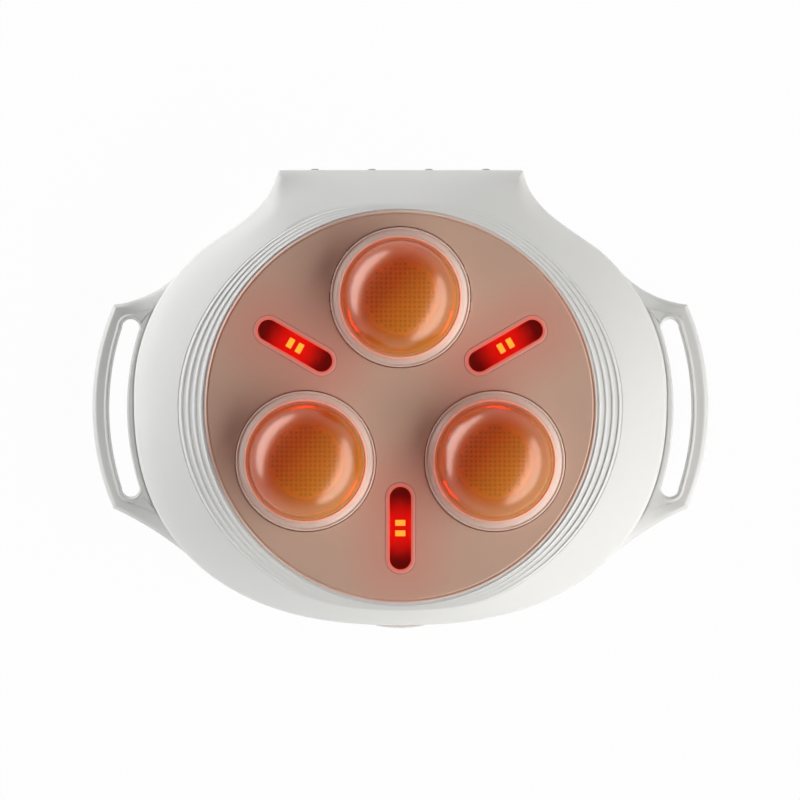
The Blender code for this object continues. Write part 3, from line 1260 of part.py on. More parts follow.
def control_board():
    """A board with a switch behind each key, screwed to the rails of the back shell."""
    low = (-BOARD_WIDTH / 2, BOARD_FACE_Y - BOARD_THICKNESS, BOARD_MID_Z - BOARD_HEIGHT / 2)
    high = (BOARD_WIDTH / 2, BOARD_FACE_Y, BOARD_MID_Z + BOARD_HEIGHT / 2)
    board = box("control_board", low, high, BOARD_GREEN)
    for number in range(len(BUTTON_NAMES)):
        middle = button_x(number)
        low = (middle - SWITCH_SIZE[0] / 2, BOARD_FACE_Y - BOARD_THICKNESS / 2, BUTTON_Z - SWITCH_SIZE[2] / 2)
        high = (middle + SWITCH_SIZE[0] / 2, BOARD_FACE_Y + SWITCH_SIZE[1], BUTTON_Z + SWITCH_SIZE[2] / 2)
        join(board, box(f"switch_{number + 1}", low, high, None, CUTTERS))
    places = board_screw_places()
    cut(board, rods("board_screw_holes", places.values(), SMALL_SCREW_SHANK_RADIUS + GAP,
                    BOARD_FACE_Y - BOARD_THICKNESS - OVERRUN, BOARD_FACE_Y + OVERRUN, SMALL_SCREW_STEPS, "Y"))
    for side, place in places.items():
        screw = small_screw("board_screw_" + side, BOARD_SCREW_LENGTH)
        screw.rotation_euler.x = -math.pi / 2
        screw.location = Vector(place) + Vector((0, BOARD_FACE_Y, 0))


def battery_pack():
    width, depth, height = BATTERY_SIZE
    low = (-width / 2, BATTERY_MID_Y - depth / 2, FLOOR_Z + GAP)
    high = (width / 2, BATTERY_MID_Y + depth / 2, FLOOR_Z + GAP + height)
    box("battery_pack", low, high, BATTERY_BLUE, rounding=BATTERY_ROUND, segments=2)


def charging_port():
    """A socket shell on a small board, facing the plug."""
    width, depth, height = PORT_SIZE
    low = (-width / 2, PORT_FACE_Y, PLUG_Z - height / 2)
    high = (width / 2, PORT_FACE_Y + depth, PLUG_Z + height / 2)
    socket = box("charging_port", low, high, STEEL)
    mouth_low = (low[0] + PORT_WALL, PORT_FACE_Y - OVERRUN, low[2] + PORT_WALL)
    mouth_high = (high[0] - PORT_WALL, high[1] - PORT_WALL, high[2] - PORT_WALL)
    cut(socket, box("port_mouth", mouth_low, mouth_high, None, CUTTERS))
    middle_y = PORT_FACE_Y + depth / 2
    board_width, board_depth, thickness = PORT_BOARD_SIZE
    low = (-board_width / 2, middle_y - board_depth / 2, PORT_BOARD_Z)
    high = (board_width / 2, middle_y + board_depth / 2, PORT_BOARD_Z + thickness)
    box("charging_board", low, high, BOARD_GREEN)


def port_plug():
    """A soft plug whose face stands proud of the bottom wall and whose tongue enters the socket."""
    face = BOTTOM_WALL_Y - PLUG_PROUD
    back = BOTTOM_WALL_Y + PLUG_BODY
    plug = plug_shape("port_plug", 0, face, back, MODEL, PALE_SILICONE)
    width, depth, height = PLUG_TONGUE_SIZE
    tongue = box("plug_tongue", (-width / 2, back - GAP, PLUG_Z - height / 2),
                 (width / 2, back + depth, PLUG_Z + height / 2), None, CUTTERS)
    join(plug, tongue)
    smooth(plug)


def case_screws():
    head_bottom = SCREW_SEAT_Z - GAP - SCREW_HEAD_HEIGHT
    neck = SCREW_SEAT_Z - GAP
    tip = SCREW_SEAT_Z + SCREW_LENGTH
    profile = [
        (0, tip), (SCREW_SHANK_RADIUS, tip - SCREW_SHANK_RADIUS), (SCREW_SHANK_RADIUS, neck),
        (SCREW_HEAD_RADIUS, neck), (SCREW_HEAD_RADIUS, head_bottom), (0, head_bottom),
    ]
    for name, place in screw_places():
        screw = turned("case_screw_" + name, profile, STEEL, SCREW_STEPS, closed=False)
        screw.location = place


front_shell()
back_shell()
face_panel()
kneading_heads()
light_windows()
sun_and_wheel()
worm()
motor()
worm_bearing()
drive_shaft_and_bushes()
gear_plate()
buttons()
control_board()
battery_pack()
charging_port()
port_plug()
case_screws()
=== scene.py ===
"""The abdominal massager dressed for its picture: case halves with strap loops and stepped ribs, a champagne
panel, three kneading heads with amber domes in pale rings, and three red light windows.

Metres, in the frame of the construction: +Z out of the massaging face, +Y towards the button edge, and
the origin on the flat back under the middle of the panel.
"""

import json
import math

import bmesh
import bpy
from mathutils import Matrix, Vector


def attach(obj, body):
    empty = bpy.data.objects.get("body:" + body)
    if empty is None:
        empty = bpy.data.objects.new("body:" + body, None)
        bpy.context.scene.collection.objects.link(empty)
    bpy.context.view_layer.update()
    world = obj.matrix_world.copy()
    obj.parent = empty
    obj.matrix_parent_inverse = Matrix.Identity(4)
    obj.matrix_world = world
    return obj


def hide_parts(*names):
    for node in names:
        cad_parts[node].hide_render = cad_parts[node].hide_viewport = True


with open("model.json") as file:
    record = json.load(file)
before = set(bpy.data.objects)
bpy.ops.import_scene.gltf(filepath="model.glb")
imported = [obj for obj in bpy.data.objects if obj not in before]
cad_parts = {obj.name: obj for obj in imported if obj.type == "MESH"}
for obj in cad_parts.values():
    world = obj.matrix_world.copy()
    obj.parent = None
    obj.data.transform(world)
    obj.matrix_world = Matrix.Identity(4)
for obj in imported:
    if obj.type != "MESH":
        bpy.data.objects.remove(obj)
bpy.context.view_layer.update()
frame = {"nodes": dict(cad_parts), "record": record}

MM = 0.001

# Photograph: its width in pixels, the size of a pixel, and the pixel over the panel's middle
PHOTO_SIDE_PX = 800
PIXEL = 0.4045 * MM
PANEL_MIDDLE_PX = (400.3, 406.5)

# Case outline, as the construction has it
BODY_MID_Y = 3.9 * MM
BODY_HALF_WIDTH = 107.9 * MM
BODY_REACH_UP = 85.6 * MM
BODY_REACH_DOWN = 92.4 * MM
BODY_UP_POWER = 2.12
BODY_DOWN_POWER = 2.39
NECK_FOOT_X = 80.3 * MM
NECK_FOOT_PULL = 16.6 * MM
NECK_FOOT_SLOPE = math.radians(36.1)
NECK_HALF_WIDTH = 49.8 * MM
NECK_TOP_Y = 95.7 * MM
NECK_TOP_PULL = 14.9 * MM
NECK_TOP_SLOPE = math.radians(77.3)
NECK_CORNER_ROUND = 1.2 * MM
OUTLINE_STEPS_DOWN = 66
OUTLINE_STEPS_UP = 36
OUTLINE_STEPS_NECK = 24
OUTLINE_STEPS_CORNER = 5
OUTLINE_STEPS_TOP = 14

# Case heights
PARTING_Z = 16 * MM
PARTING_GAP = 0.3 * MM
PARTING_ROUND = 0.5 * MM
PARTING_ROUND_MIDDLE = 0.3 * PARTING_ROUND
WALL = 2.5 * MM
PANEL_TOP_Z = 46 * MM
PANEL_BOTTOM_Z = 43.5 * MM
LEDGE_TOP_Z = 43.2 * MM
LEDGE_BOTTOM_Z = 41.2 * MM
LEDGE_RADIUS = 76.3 * MM
NECK_EDGE_Z = 34 * MM
CROWN_RUN = 17.5 * MM
CROWN_RISE = 14.6 * MM
CROWN_RUN_POWER = 0.7
CROWN_POWER = 0.85
CROWN_STEPS = 14
CROWN_SOFT_SHARE = 0.5
SOFTEN_POINTS = 40
SOFTEN_TURN = math.radians(16)
EDGE_ROUND = 5 * MM
NECK_EDGE_ROUND = 1.2 * MM
EDGE_ROUND_TURN = math.radians(50)
EDGE_ROUND_STEPS = 7
LEAST_SLANT_SHARE = 0.6
DISH_REACH_SHARE = 0.78
DISH_STEPS = 16

# Stepped ribs beside the panel: first crest and pitch at the sides and well away from them.
# Pairs give the lower half of the case, then the upper half.
RIB_COUNT = 4
RIB_FIRST_X = 80.6 * MM
RIB_FIRST_FAR = (80.75 * MM, 80.15 * MM)
RIB_PITCH = 2.7 * MM
RIB_PITCH_FAR = 1.25 * MM
RIB_PITCH_CLOSED = 0.48 * MM
RIB_SPREAD = (math.radians(50), math.radians(36))
RIB_CLOSING = (math.radians(62), math.radians(90))
RIB_FADING = ((math.radians(22), math.radians(64)), (math.radians(30), math.radians(74)))
RIB_RISER = 1.4 * MM
RIB_DROP = 1.1 * MM
RIB_GROOVE = 0.42 * MM
RIB_FADE_SHARE = 0.1
RIB_OUTER_X = 90.4 * MM
RIB_OUTER_Y = 81.32 * MM
PANEL_HOLE_RADIUS = 79.4 * MM
LEDGE_FALL = 0.32 * MM
# From one crest out to the next: share of the way, of the step down, and of the groove's depth
RIB_PROFILE = (
    (0.0, 0.0, 0.0), (0.05, 0.02, 0.0), (0.09, 0.06, 0.12), (0.13, 0.14, 0.4), (0.19, 0.26, 0.68),
    (0.3, 0.4, 0.9), (0.44, 0.54, 1.0), (0.6, 0.7, 1.0), (0.72, 0.84, 0.92), (0.79, 0.92, 0.7),
    (0.835, 0.955, 0.4), (0.87, 0.975, 0.14), (0.91, 0.985, 0.02), (0.96, 0.99, 0.0),
)
RIB_FOOT = (
    (0.0, 0.0, 0.0), (0.1, 0.04, 0.0), (0.2, 0.14, 0.2), (0.34, 0.34, 0.5), (0.55, 0.62, 0.6),
    (0.76, 0.88, 0.45), (0.9, 0.97, 0.2),
)
# From the first crest in to a low ledge beside the panel: distance in, and fall
RIB_INNER_SIDE = ((0.08 * MM, 0.0), (0.16 * MM, 0.05 * MM), (0.27 * MM, 0.2 * MM), (0.36 * MM, 0.3 * MM))

# Panel
PANEL_RADIUS = 79.25 * MM
PANEL_STEPS = 256
PANEL_HOLE_EDGE = 0.55 * MM
# Rim of the panel, from its side out to a bead over the gap, and in over a groove: distance in, and rise
PANEL_RIM = [(inward * MM, rise * MM) for inward, rise in (
    (0.0, -0.36), (-0.04, -0.32), (-0.12, -0.27), (-0.28, -0.24), (-0.34, -0.17), (-0.34, -0.07), (-0.27, 0.01),
    (-0.12, 0.07), (0.04, 0.09), (0.22, 0.06), (0.38, -0.01), (0.52, -0.14), (0.64, -0.34), (0.76, -0.46),
    (0.92, -0.5), (1.06, -0.44), (1.18, -0.26), (1.34, -0.08), (1.55, 0.0),
)]

# Kneading heads
HEAD_ORBIT = 44.2 * MM
HEAD_TURNS = {"top": math.radians(90), "left": math.radians(210), "right": math.radians(330)}
HEAD_HOLE_RADIUS = 28.7 * MM
HEAD_STEPS = 128
DOME_RADIUS = 23.8 * MM
DOME_FOOT_Z = 46.8 * MM
DOME_SHOULDER_Z = 52 * MM
DOME_TOP_Z = 67 * MM
DOME_WALL = 2.2 * MM
DOME_ARC_STEPS = 26
HEATER_RADIUS = 15 * MM
HEATER_BORE = 4 * MM
HEATER_EDGE = 0.3 * MM
HEATER_BOTTOM_Z = 53.3 * MM
HEATER_TOP_Z = 54.9 * MM
HEATER_DOT_PITCH = 1.9 * MM
HEATER_DOT_RADIUS = 0.6 * MM
HEATER_DOT_HEIGHT = 0.35 * MM
HEATER_DOT_ROWS = 15
HEATER_DOT_REACH = 13.6 * MM
# Direction in which the painted glow of the domes and heater plates grows, the lower right
PAINTED_LIGHT_SIDE = (0.77, -0.64, 0)

# Light windows
WINDOW_ORBIT = 49.2 * MM
WINDOW_TURNS = {"right": math.radians(30), "left": math.radians(150), "bottom": math.radians(270)}
WINDOW_LENGTH = 33.4 * MM
WINDOW_WIDTH = 8.7 * MM
WINDOW_RIM_WIDTH = 1.9 * MM
WINDOW_RIM_DEPTH = 0.7 * MM
WINDOW_RIM_PROUD = 0.15 * MM
WINDOW_RIM_GAP = 0.18 * MM
WINDOW_RIM_EDGE = 0.22 * MM
WINDOW_STEPS = 72
LENS_CLEARANCE = 0.3 * MM
LENS_TOP_Z = 45.2 * MM
LENS_EDGE = 0.25 * MM
STRIP_LENGTH = 24 * MM
STRIP_WIDTH = 6.4 * MM
STRIP_BOTTOM_Z = 40.6 * MM
STRIP_TOP_Z = 41.6 * MM
STRIP_EDGE = 0.15 * MM
CHIP_ALONG = 2.3 * MM
CHIP_ACROSS = 3.9 * MM
CHIP_PITCH = 4.2 * MM
CHIP_TOP_Z = 42.3 * MM
CHIP_EDGE = 0.2 * MM

# Strap loops
LOOP_BOTTOM_Z = 9 * MM
LOOP_TOP_Z = 15 * MM
LOOP_REACH = 124.9 * MM
LOOP_BAR_RADIUS = 103.1 * MM
LOOP_LOW_Y = -41.3 * MM
LOOP_HIGH_Y = 41.3 * MM
WEB_TOP_Y = 53.6 * MM
WEB_BOTTOM_Y = -60.5 * MM
WEB_TOP_SAG = 2.4 * MM
WEB_BOTTOM_SAG = 1.2 * MM
LOOP_ROOT_SHARE = 0.95
SLOT_OUTER_X = 118 * MM
SLOT_OUTER_RADIUS = 104.8 * MM
SLOT_INNER_X = 110.8 * MM
SLOT_INNER_RADIUS = 105 * MM
SLOT_HALF_LENGTH = 36 * MM
SLOT_MID_Y = -0.6 * MM
LOOP_LOWER_ROUND = 0.5 * MM
LOOP_LOWER_ROUND_MIDDLE = 0.3 * LOOP_LOWER_ROUND
CHANNEL_WIDTH = 0.8 * MM
CHANNEL_DEPTH = 1.7 * MM
# Points of the loop's outline and of the slot that face each other: steps on each piece of the paths
LOOP_PIECE_STEPS = (96, 40, 8, 96, 8, 40)
SLOT_PIECE_STEPS = (96, 48, 96, 48)
# Share of each piece that stays free of points beside its ends, so that the inset rows don't cross at corners
LOOP_END_SHARES = (0.03, 0.1, 0.1, 0.03, 0.1, 0.1)
SLOT_END_SHARES = (0, 0, 0, 0)
# Outer edge of a loop, from its side up to the flat: distance in and height at the bar, then at the webs
LOOP_EDGE_ROWS = (
    (0.0, -2.8, 0.0, -3.6), (0.12, -2.1, 0.14, -2.9), (0.4, -1.45, 0.5, -2.35), (0.8, -0.95, 1.1, -1.9),
    (1.15, -0.6, 1.9, -1.52), (1.35, -0.38, 2.8, -1.18), (1.55, -0.26, 3.8, -0.88), (1.9, -0.2, 4.9, -0.58),
    (2.4, -0.14, 6.0, -0.32), (2.9, -0.08, 7.0, -0.12),
)
# Belt slot, from the flat down to its wall: distance out and height, with a bead and then without
SLOT_EDGE_ROWS = (
    (2.3, -0.02, 0.9, 0.0), (2.1, 0.04, 0.8, 0.0), (1.9, 0.2, 0.7, 0.0), (1.65, 0.4, 0.6, -0.03),
    (1.35, 0.52, 0.5, -0.07), (1.05, 0.54, 0.42, -0.12), (0.8, 0.4, 0.35, -0.2), (0.6, 0.1, 0.28, -0.35),
    (0.45, -0.6, 0.2, -0.7), (0.1, -3.2, 0.08, -3.2), (0.0, -3.6, 0.0, -3.6),
)

# Buttons, plug and case screws
BUTTON_PLACES_X = [x * MM for x in (-34.65, -11.55, 11.55, 34.65)]
BUTTON_BODIES = ("power", "heat", "mode", "level")
BUTTON_RADIUS = 5.5 * MM
BUTTON_Z = 25 * MM
BUTTON_PROUD = 0.6 * MM
BUTTON_STEPS = 64
BUTTON_FLANGE_RADIUS = 6.9 * MM
BUTTON_FLANGE = 1.2 * MM
BUTTON_STEM_RADIUS = 2 * MM
BUTTON_STEM_REACH = 3.2 * MM
PLUG_WIDTH = 20 * MM
PLUG_HEIGHT = 9 * MM
PLUG_ROUND = 2 * MM
PLUG_Z = 22 * MM
PLUG_PROUD = 1.2 * MM
PLUG_BOW = 1.0 * MM
PLUG_DEPTH = 2.2 * MM
PLUG_EDGE = 0.5 * MM
PLUG_SLICES = 8
TONGUE_WIDTH = 6 * MM
TONGUE_HEIGHT = 1.4 * MM
TONGUE_LENGTH = 3.2 * MM
NAIL_GROOVE_WIDTH = 10 * MM
NAIL_GROOVE_RISE = (2.6 * MM, 3.2 * MM)
NAIL_GROOVE_DEPTH = 0.4 * MM
BOTTOM_WALL_Y = -88.5 * MM
SCREW_PLACES = [(56.5 * MM, 58.3 * MM), (85.5 * MM, -8 * MM), (37.4 * MM, -68.3 * MM)]
SCREW_RECESS_RADIUS = 3.5 * MM
SCREW_SEAT_Z = 8 * MM
SCREW_BOSS_RADIUS = 5.2 * MM

# Finishes: the size of the soft patches in plastic, and how far from the middle, a head's axis, a window or
# its chips a tone starts and ends
PATCH_SCALE = 38.0
PALE_RIM = (78.4 * MM, 78.9 * MM)
# The runs below spread painted light: the glow at the skirts' lips, the red light round the windows and the
# glow in the window trays
PAINTED_LIP_GLOW_RUN = (24.5 * MM, 25.2 * MM)
PAINTED_GLOW_RUN = (6 * MM, 24 * MM)
PAINTED_RED_LIGHT_RUN = (6 * MM, 34 * MM)
LIT_RUN = (4 * MM, 14.5 * MM)

# Stage. Softboxes: turn round the object and rise above the floor in degrees; distance, width and height in
# metres; watts, colour and shape.
CAMERA_LENS = 1600
SENSOR_WIDTH = 36
EVEN_LEVEL = 0.04
CEILING_LEVEL = 0.12
CEILING_RISE = (0.1, 0.6)
FLOOR_WHITE_SHARE = 0.97
GLOW_WATTS = 0.008
GLOW_RISE = 1.4 * MM
PLAIN_WHITE = (1.0, 1.0, 1.0)
SOFTBOXES = {
    "key_right": (-22, 31, 1.5, 3.4, 0.9, 28.5, (1.0, 0.99, 0.97), "ELLIPSE"),
    "fill_left": (152, 16, 1.6, 3.4, 0.8, 29, PLAIN_WHITE, "ELLIPSE"),
    "fill_panel": (150, 60, 1.6, 2.4, 2.4, 3.5, PLAIN_WHITE, "ELLIPSE"),
    "fill_rings": (157, 15, 1.6, 3.4, 0.8, 10, PLAIN_WHITE, "ELLIPSE"),
    "top_soft": (92, 14, 0.9, 1.5, 0.5, 1.0, PLAIN_WHITE, "RECTANGLE"),
    "bottom_soft": (-100, 14, 0.9, 1.5, 0.5, 2.7, PLAIN_WHITE, "RECTANGLE"),
}

HALF_TURN = math.pi
QUARTER_TURN = math.pi / 2
SMOOTH_ANGLE = math.radians(32)
BEVEL_ANGLE = math.radians(60)
OVERRUN = 2 * MM
# A face counts as level when its normal rises at least this much
LEVEL_FACE = 0.9999


# Modelling helpers

def deselect():
    bpy.ops.object.select_all(action="DESELECT")


def name_active(name):
    piece = bpy.context.object
    piece.name = name
    piece.data.name = name
    return piece


def make_active(piece):
    deselect()
    piece.select_set(True)
    bpy.context.view_layer.objects.active = piece


def edit(piece):
    make_active(piece)
    bpy.ops.object.mode_set(mode="EDIT")


def leave_edit():
    bpy.ops.object.mode_set(mode="OBJECT")


def settle(piece, row):
    """Put the selected loop of a pulled surface on the points of a row."""
    shape = bmesh.from_edit_mesh(piece.data)
    order = shape.verts.layers.int["order"]
    for vert in shape.verts:
        if vert.select:
            vert.co = row[vert[order]]
    bmesh.update_edit_mesh(piece.data, loop_triangles=False)


def pulled(name, rows, closed=False):
    """A circle whose edge is extruded row by row, each row put on its points.

    A closed surface ends on its first row; an open one has both ends filled.
    """
    deselect()
    bpy.ops.mesh.primitive_circle_add(vertices=len(rows[0]), radius=PANEL_RADIUS)
    piece = name_active(name)
    edit(piece)
    bpy.ops.mesh.select_all(action="SELECT")
    shape = bmesh.from_edit_mesh(piece.data)
    order = shape.verts.layers.int.new("order")
    for number, vert in enumerate(shape.verts):
        vert[order] = number
    settle(piece, rows[0])
    for row in rows[1:] + rows[:1] * closed:
        bpy.ops.mesh.extrude_edges_indiv()
        settle(piece, row)
    bpy.ops.mesh.select_all(action="SELECT")
    if closed:
        bpy.ops.mesh.remove_doubles(threshold=MM / 1000)
    else:
        bpy.ops.mesh.fill_holes(sides=0)
    bpy.ops.mesh.select_all(action="SELECT")
    bpy.ops.mesh.normals_make_consistent(inside=False)
    leave_edit()
    piece.data.attributes.remove(piece.data.attributes["order"])
    return piece


def ring(radius, height, steps, middle=(0, 0)):
    return [
        Vector((
            middle[0] + radius * math.cos(math.tau * i / steps),
            middle[1] + radius * math.sin(math.tau * i / steps),
            height,
        ))
        for i in range(steps)
    ]


def turned(name, profile, steps, middle=(0, 0), closed=True):
    """A round piece pulled through rings of (radius, height)."""
    return pulled(name, [ring(radius, height, steps, middle) for radius, height in profile], closed)


def apply_modifier(piece, kind, **settings):
    make_active(piece)
    step = piece.modifiers.new(kind.lower(), kind)
    for setting, value in settings.items():
        setattr(step, setting, value)
    bpy.ops.object.modifier_apply(modifier=step.name)


def combine(piece, tool, operation, solver="EXACT"):
    apply_modifier(piece, "BOOLEAN", operation=operation, solver=solver, object=tool)
    bpy.data.objects.remove(tool, do_unlink=True)


def round_edges(piece, width, segments=3):
    """Bevel the sharp edges of a piece."""
    apply_modifier(
        piece, "BEVEL", width=width, segments=segments, limit_method="ANGLE", angle_limit=BEVEL_ANGLE,
    )


def select_verts(piece, test):
    """In edit mode, select the points whose place passes a test."""
    shape = bmesh.from_edit_mesh(piece.data)
    for vert in shape.verts:
        vert.select_set(test(vert.co))
    shape.select_flush_mode()
    bmesh.update_edit_mesh(piece.data)


def cut(piece, tool, solver="EXACT"):
    combine(piece, tool, "DIFFERENCE", solver)


def rod(name, radius, start, end, steps, rotation=(0, 0, 0)):
    """A cylinder from start to end, turned to lie along that line."""
    start, end = Vector(start), Vector(end)
    deselect()
    bpy.ops.mesh.primitive_cylinder_add(
        vertices=steps, radius=radius, depth=(end - start).length,
        location=(start + end) / 2, rotation=rotation,
    )
    bpy.ops.object.transform_apply(location=True, rotation=True, scale=True)
    return name_active(name)


def block(name, low, high):
    low, high = Vector(low), Vector(high)
    deselect()
    bpy.ops.mesh.primitive_cube_add(size=1, location=(low + high) / 2, scale=high - low)
    bpy.ops.object.transform_apply(location=True, rotation=True, scale=True)
    return name_active(name)


def stadium(name, side, length, width, low, high):
    """A plate with round ends, its long axis on the radius of a light window."""
    deselect()
    bpy.ops.mesh.primitive_cylinder_add(
        vertices=WINDOW_STEPS, radius=width / 2, depth=high - low,
        location=(0, 0, (low + high) / 2), rotation=(0, 0, math.pi / WINDOW_STEPS),
    )
    bpy.ops.object.transform_apply(location=True, rotation=True, scale=True)
    piece = name_active(name)
    edit(piece)
    for way in (1, -1):
        select_verts(piece, lambda place: place.x * way > 0)
        bpy.ops.transform.translate(value=(way * (length - width) / 2, 0, 0))
    leave_edit()
    seat_on_window(piece, side)
    return piece


def seat_on_window(piece, side):
    """Move a piece made at the origin to its light window, its X along the window."""
    make_active(piece)
    turn = WINDOW_TURNS[side]
    piece.location = (WINDOW_ORBIT * math.cos(turn), WINDOW_ORBIT * math.sin(turn), 0)
    piece.rotation_euler.z = turn
    bpy.ops.object.transform_apply(location=True, rotation=True, scale=True)


def finished(piece, surface, body, slot, *nodes):
    """Give a piece its finish, the body it moves with, and the nodes it stands for. The slot argument is not
    used.
    """
    make_active(piece)
    bpy.ops.object.shade_smooth_by_angle(angle=SMOOTH_ANGLE)
    piece.data.materials.clear()
    piece.data.materials.append(surface)
    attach(piece, body)
    if nodes:
        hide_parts(*nodes)
    return piece


# Finishes

def new_finish(name):
    made = bpy.data.materials.new(name)
    made.use_nodes = True
    return made, made.node_tree, made.node_tree.nodes["Principled BSDF"]


def connect(tree, node, inputs):
    """Feed a node's inputs, each with a socket or a plain value."""
    for place, source in inputs.items():
        if isinstance(source, bpy.types.NodeSocket):
            tree.links.new(source, node.inputs[place])
        else:
            node.inputs[place].default_value = source


def add_node(tree, kind, inputs=None, **settings):
    node = tree.nodes.new(kind)
    for setting, value in settings.items():
        setattr(node, setting, value)
    connect(tree, node, inputs or {})
    return node


def object_place(tree):
    return add_node(tree, "ShaderNodeTexCoord").outputs["Object"]


def noise(tree, place, scale, detail=2.0):
    settings = {"Vector": place, "Scale": scale, "Detail": detail}
    return add_node(tree, "ShaderNodeTexNoise", settings).outputs["Fac"]


def spread(tree, value, low, high, new_low, new_high, way="LINEAR"):
    """Stretch a value from one range to another, held at its ends."""
    settings = {"Value": value, 1: low, 2: high, 3: new_low, 4: new_high}
    return add_node(tree, "ShaderNodeMapRange", settings, interpolation_type=way).outputs["Result"]


def uneven(tree, place, scale, low, high):
    """A value that wanders between two levels over the surface."""
    return spread(tree, noise(tree, place, scale), 0.3, 0.7, low, high)


def math_of(tree, operation, first, second=0.0):
    return add_node(tree, "ShaderNodeMath", {0: first, 1: second}, operation=operation).outputs[0]


def length_of(tree, vector):
    return add_node(tree, "ShaderNodeVectorMath", {0: vector}, operation="LENGTH").outputs["Value"]


def least(tree, values):
    lowest, *others = values
    for value in others:
        lowest = math_of(tree, "MINIMUM", lowest, value)
    return lowest


def opaque(colour):
    """A socket as it is, or three numbers as the four that a colour input takes."""
    return (*colour, 1.0) if isinstance(colour, tuple) else colour


def blend_colours(tree, share, first, second):
    settings = {"Factor": share, 6: opaque(first), 7: opaque(second)}
    return add_node(tree, "ShaderNodeMix", settings, data_type="RGBA").outputs[2]


def grain(tree, place, scale, depth, strength=0.3):
    """Fine moulded grain as bump."""
    settings = {"Height": noise(tree, place, scale, 3.0), "Strength": strength, "Distance": depth}
    return add_node(tree, "ShaderNodeBump", settings).outputs["Normal"]


def moulded(name, colour, second_colour, rough, grain_scale=1800.0, grain_depth=0.03 * MM):
    """Moulded plastic: two close colours in soft patches, an uneven gloss and a fine grain."""
    made, tree, shader = new_finish(name)
    place = object_place(tree)
    connect(tree, shader, {
        "Base Color": blend_colours(tree, noise(tree, place, PATCH_SCALE), colour, second_colour),
        "Roughness": uneven(tree, place, 2 * PATCH_SCALE, rough - 0.03, rough + 0.04),
        "Normal": grain(tree, place, grain_scale, grain_depth),
    })
    return made, tree, shader


def plastic(name, colour, second_colour, rough):
    return moulded(name, colour, second_colour, rough)[0]


def brushed_metal(name, colour, second_colour, rough):
    made, _, shader = moulded(name, colour, second_colour, rough, 900.0, 0.02 * MM)
    shader.inputs["Metallic"].default_value = 1.0
    return made


def window_places(tree, place):
    """The place seen from each light window, laid flat: X runs along the window from its middle."""
    for turn in WINDOW_TURNS.values():
        settings = {
            "Vector": place, "Scale": (1, 1, 0), "Rotation": (0, 0, -turn), "Location": (-WINDOW_ORBIT, 0, 0),
        }
        yield add_node(tree, "ShaderNodeMapping", settings).outputs["Vector"]


def distance_to_windows(tree, place):
    """How far a point lies from the straight middle line of the nearest light window."""
    distances = []
    for local in window_places(tree, place):
        parts = add_node(tree, "ShaderNodeSeparateXYZ", {0: local}).outputs
        along = math_of(tree, "ABSOLUTE", parts["X"])
        past = math_of(tree, "SUBTRACT", along, (WINDOW_LENGTH - WINDOW_WIDTH) / 2)
        past = math_of(tree, "MAXIMUM", past, 0.0)
        away = add_node(tree, "ShaderNodeCombineXYZ", {"X": past, "Y": parts["Y"]}).outputs["Vector"]
        distances.append(length_of(tree, away))
    return least(tree, distances)


def distance_to_window_middles(tree, place):
    """How far a point lies from the middle of the nearest light window."""
    return least(tree, [length_of(tree, local) for local in window_places(tree, place)])


def head_place(tree, place, turn):
    """The place seen from a kneading head's axis, laid flat."""
    middle = (-HEAD_ORBIT * math.cos(turn), -HEAD_ORBIT * math.sin(turn), 0)
    settings = {"Vector": place, "Scale": (1, 1, 0), "Location": middle}
    return add_node(tree, "ShaderNodeMapping", settings).outputs["Vector"]


def distance_to_heads(tree, place):
    """How far a point lies from the axis of the nearest kneading head."""
    return least(tree, [length_of(tree, head_place(tree, place, turn)) for turn in HEAD_TURNS.values()])


def towards_painted_light_side(tree, place, name):
    """How far a point lies from a kneading head's axis towards the side where its painted glow is brightest."""
    settings = {0: head_place(tree, place, HEAD_TURNS[name]), 1: PAINTED_LIGHT_SIDE}
    return add_node(tree, "ShaderNodeVectorMath", settings, operation="DOT_PRODUCT").outputs["Value"]


def panel_finish():
    """Champagne-pink satin paint, a paler polished rim, and painted red light: redder near the windows, with a
    red glow strongest there.
    """
    made, tree, shader = new_finish("champagne_pink")
    place = object_place(tree)
    paint = blend_colours(tree, noise(tree, place, 30.0), (0.70, 0.50, 0.38), (0.74, 0.53, 0.405))
    flat = add_node(tree, "ShaderNodeMapping", {"Vector": place, "Scale": (1, 1, 0)}).outputs["Vector"]
    rim = spread(tree, length_of(tree, flat), *PALE_RIM, 0.0, 1.0)
    paint = blend_colours(tree, rim, paint, (0.93, 0.80, 0.72))
    # Painted light: red paint and a red glow stand for the windows' red light falling on the panel
    away = distance_to_windows(tree, place)
    glow = spread(tree, away, *PAINTED_GLOW_RUN, 0.32, 0.0)
    painted_red_light = spread(tree, away, *PAINTED_RED_LIGHT_RUN, 1.0, 0.45)
    connect(tree, shader, {
        "Base Color": blend_colours(tree, glow, paint, (0.78, 0.2, 0.14)),
        "Emission Color": blend_colours(tree, painted_red_light, (0.0, 0.0, 0.0), (0.085, 0.004, 0.003)),
        "Emission Strength": 1.0,
        "Metallic": 0.1,
        "Roughness": uneven(tree, place, 90.0, 0.52, 0.58),
        "Normal": grain(tree, place, 2600.0, 0.02 * MM, 0.25),
    })
    return made


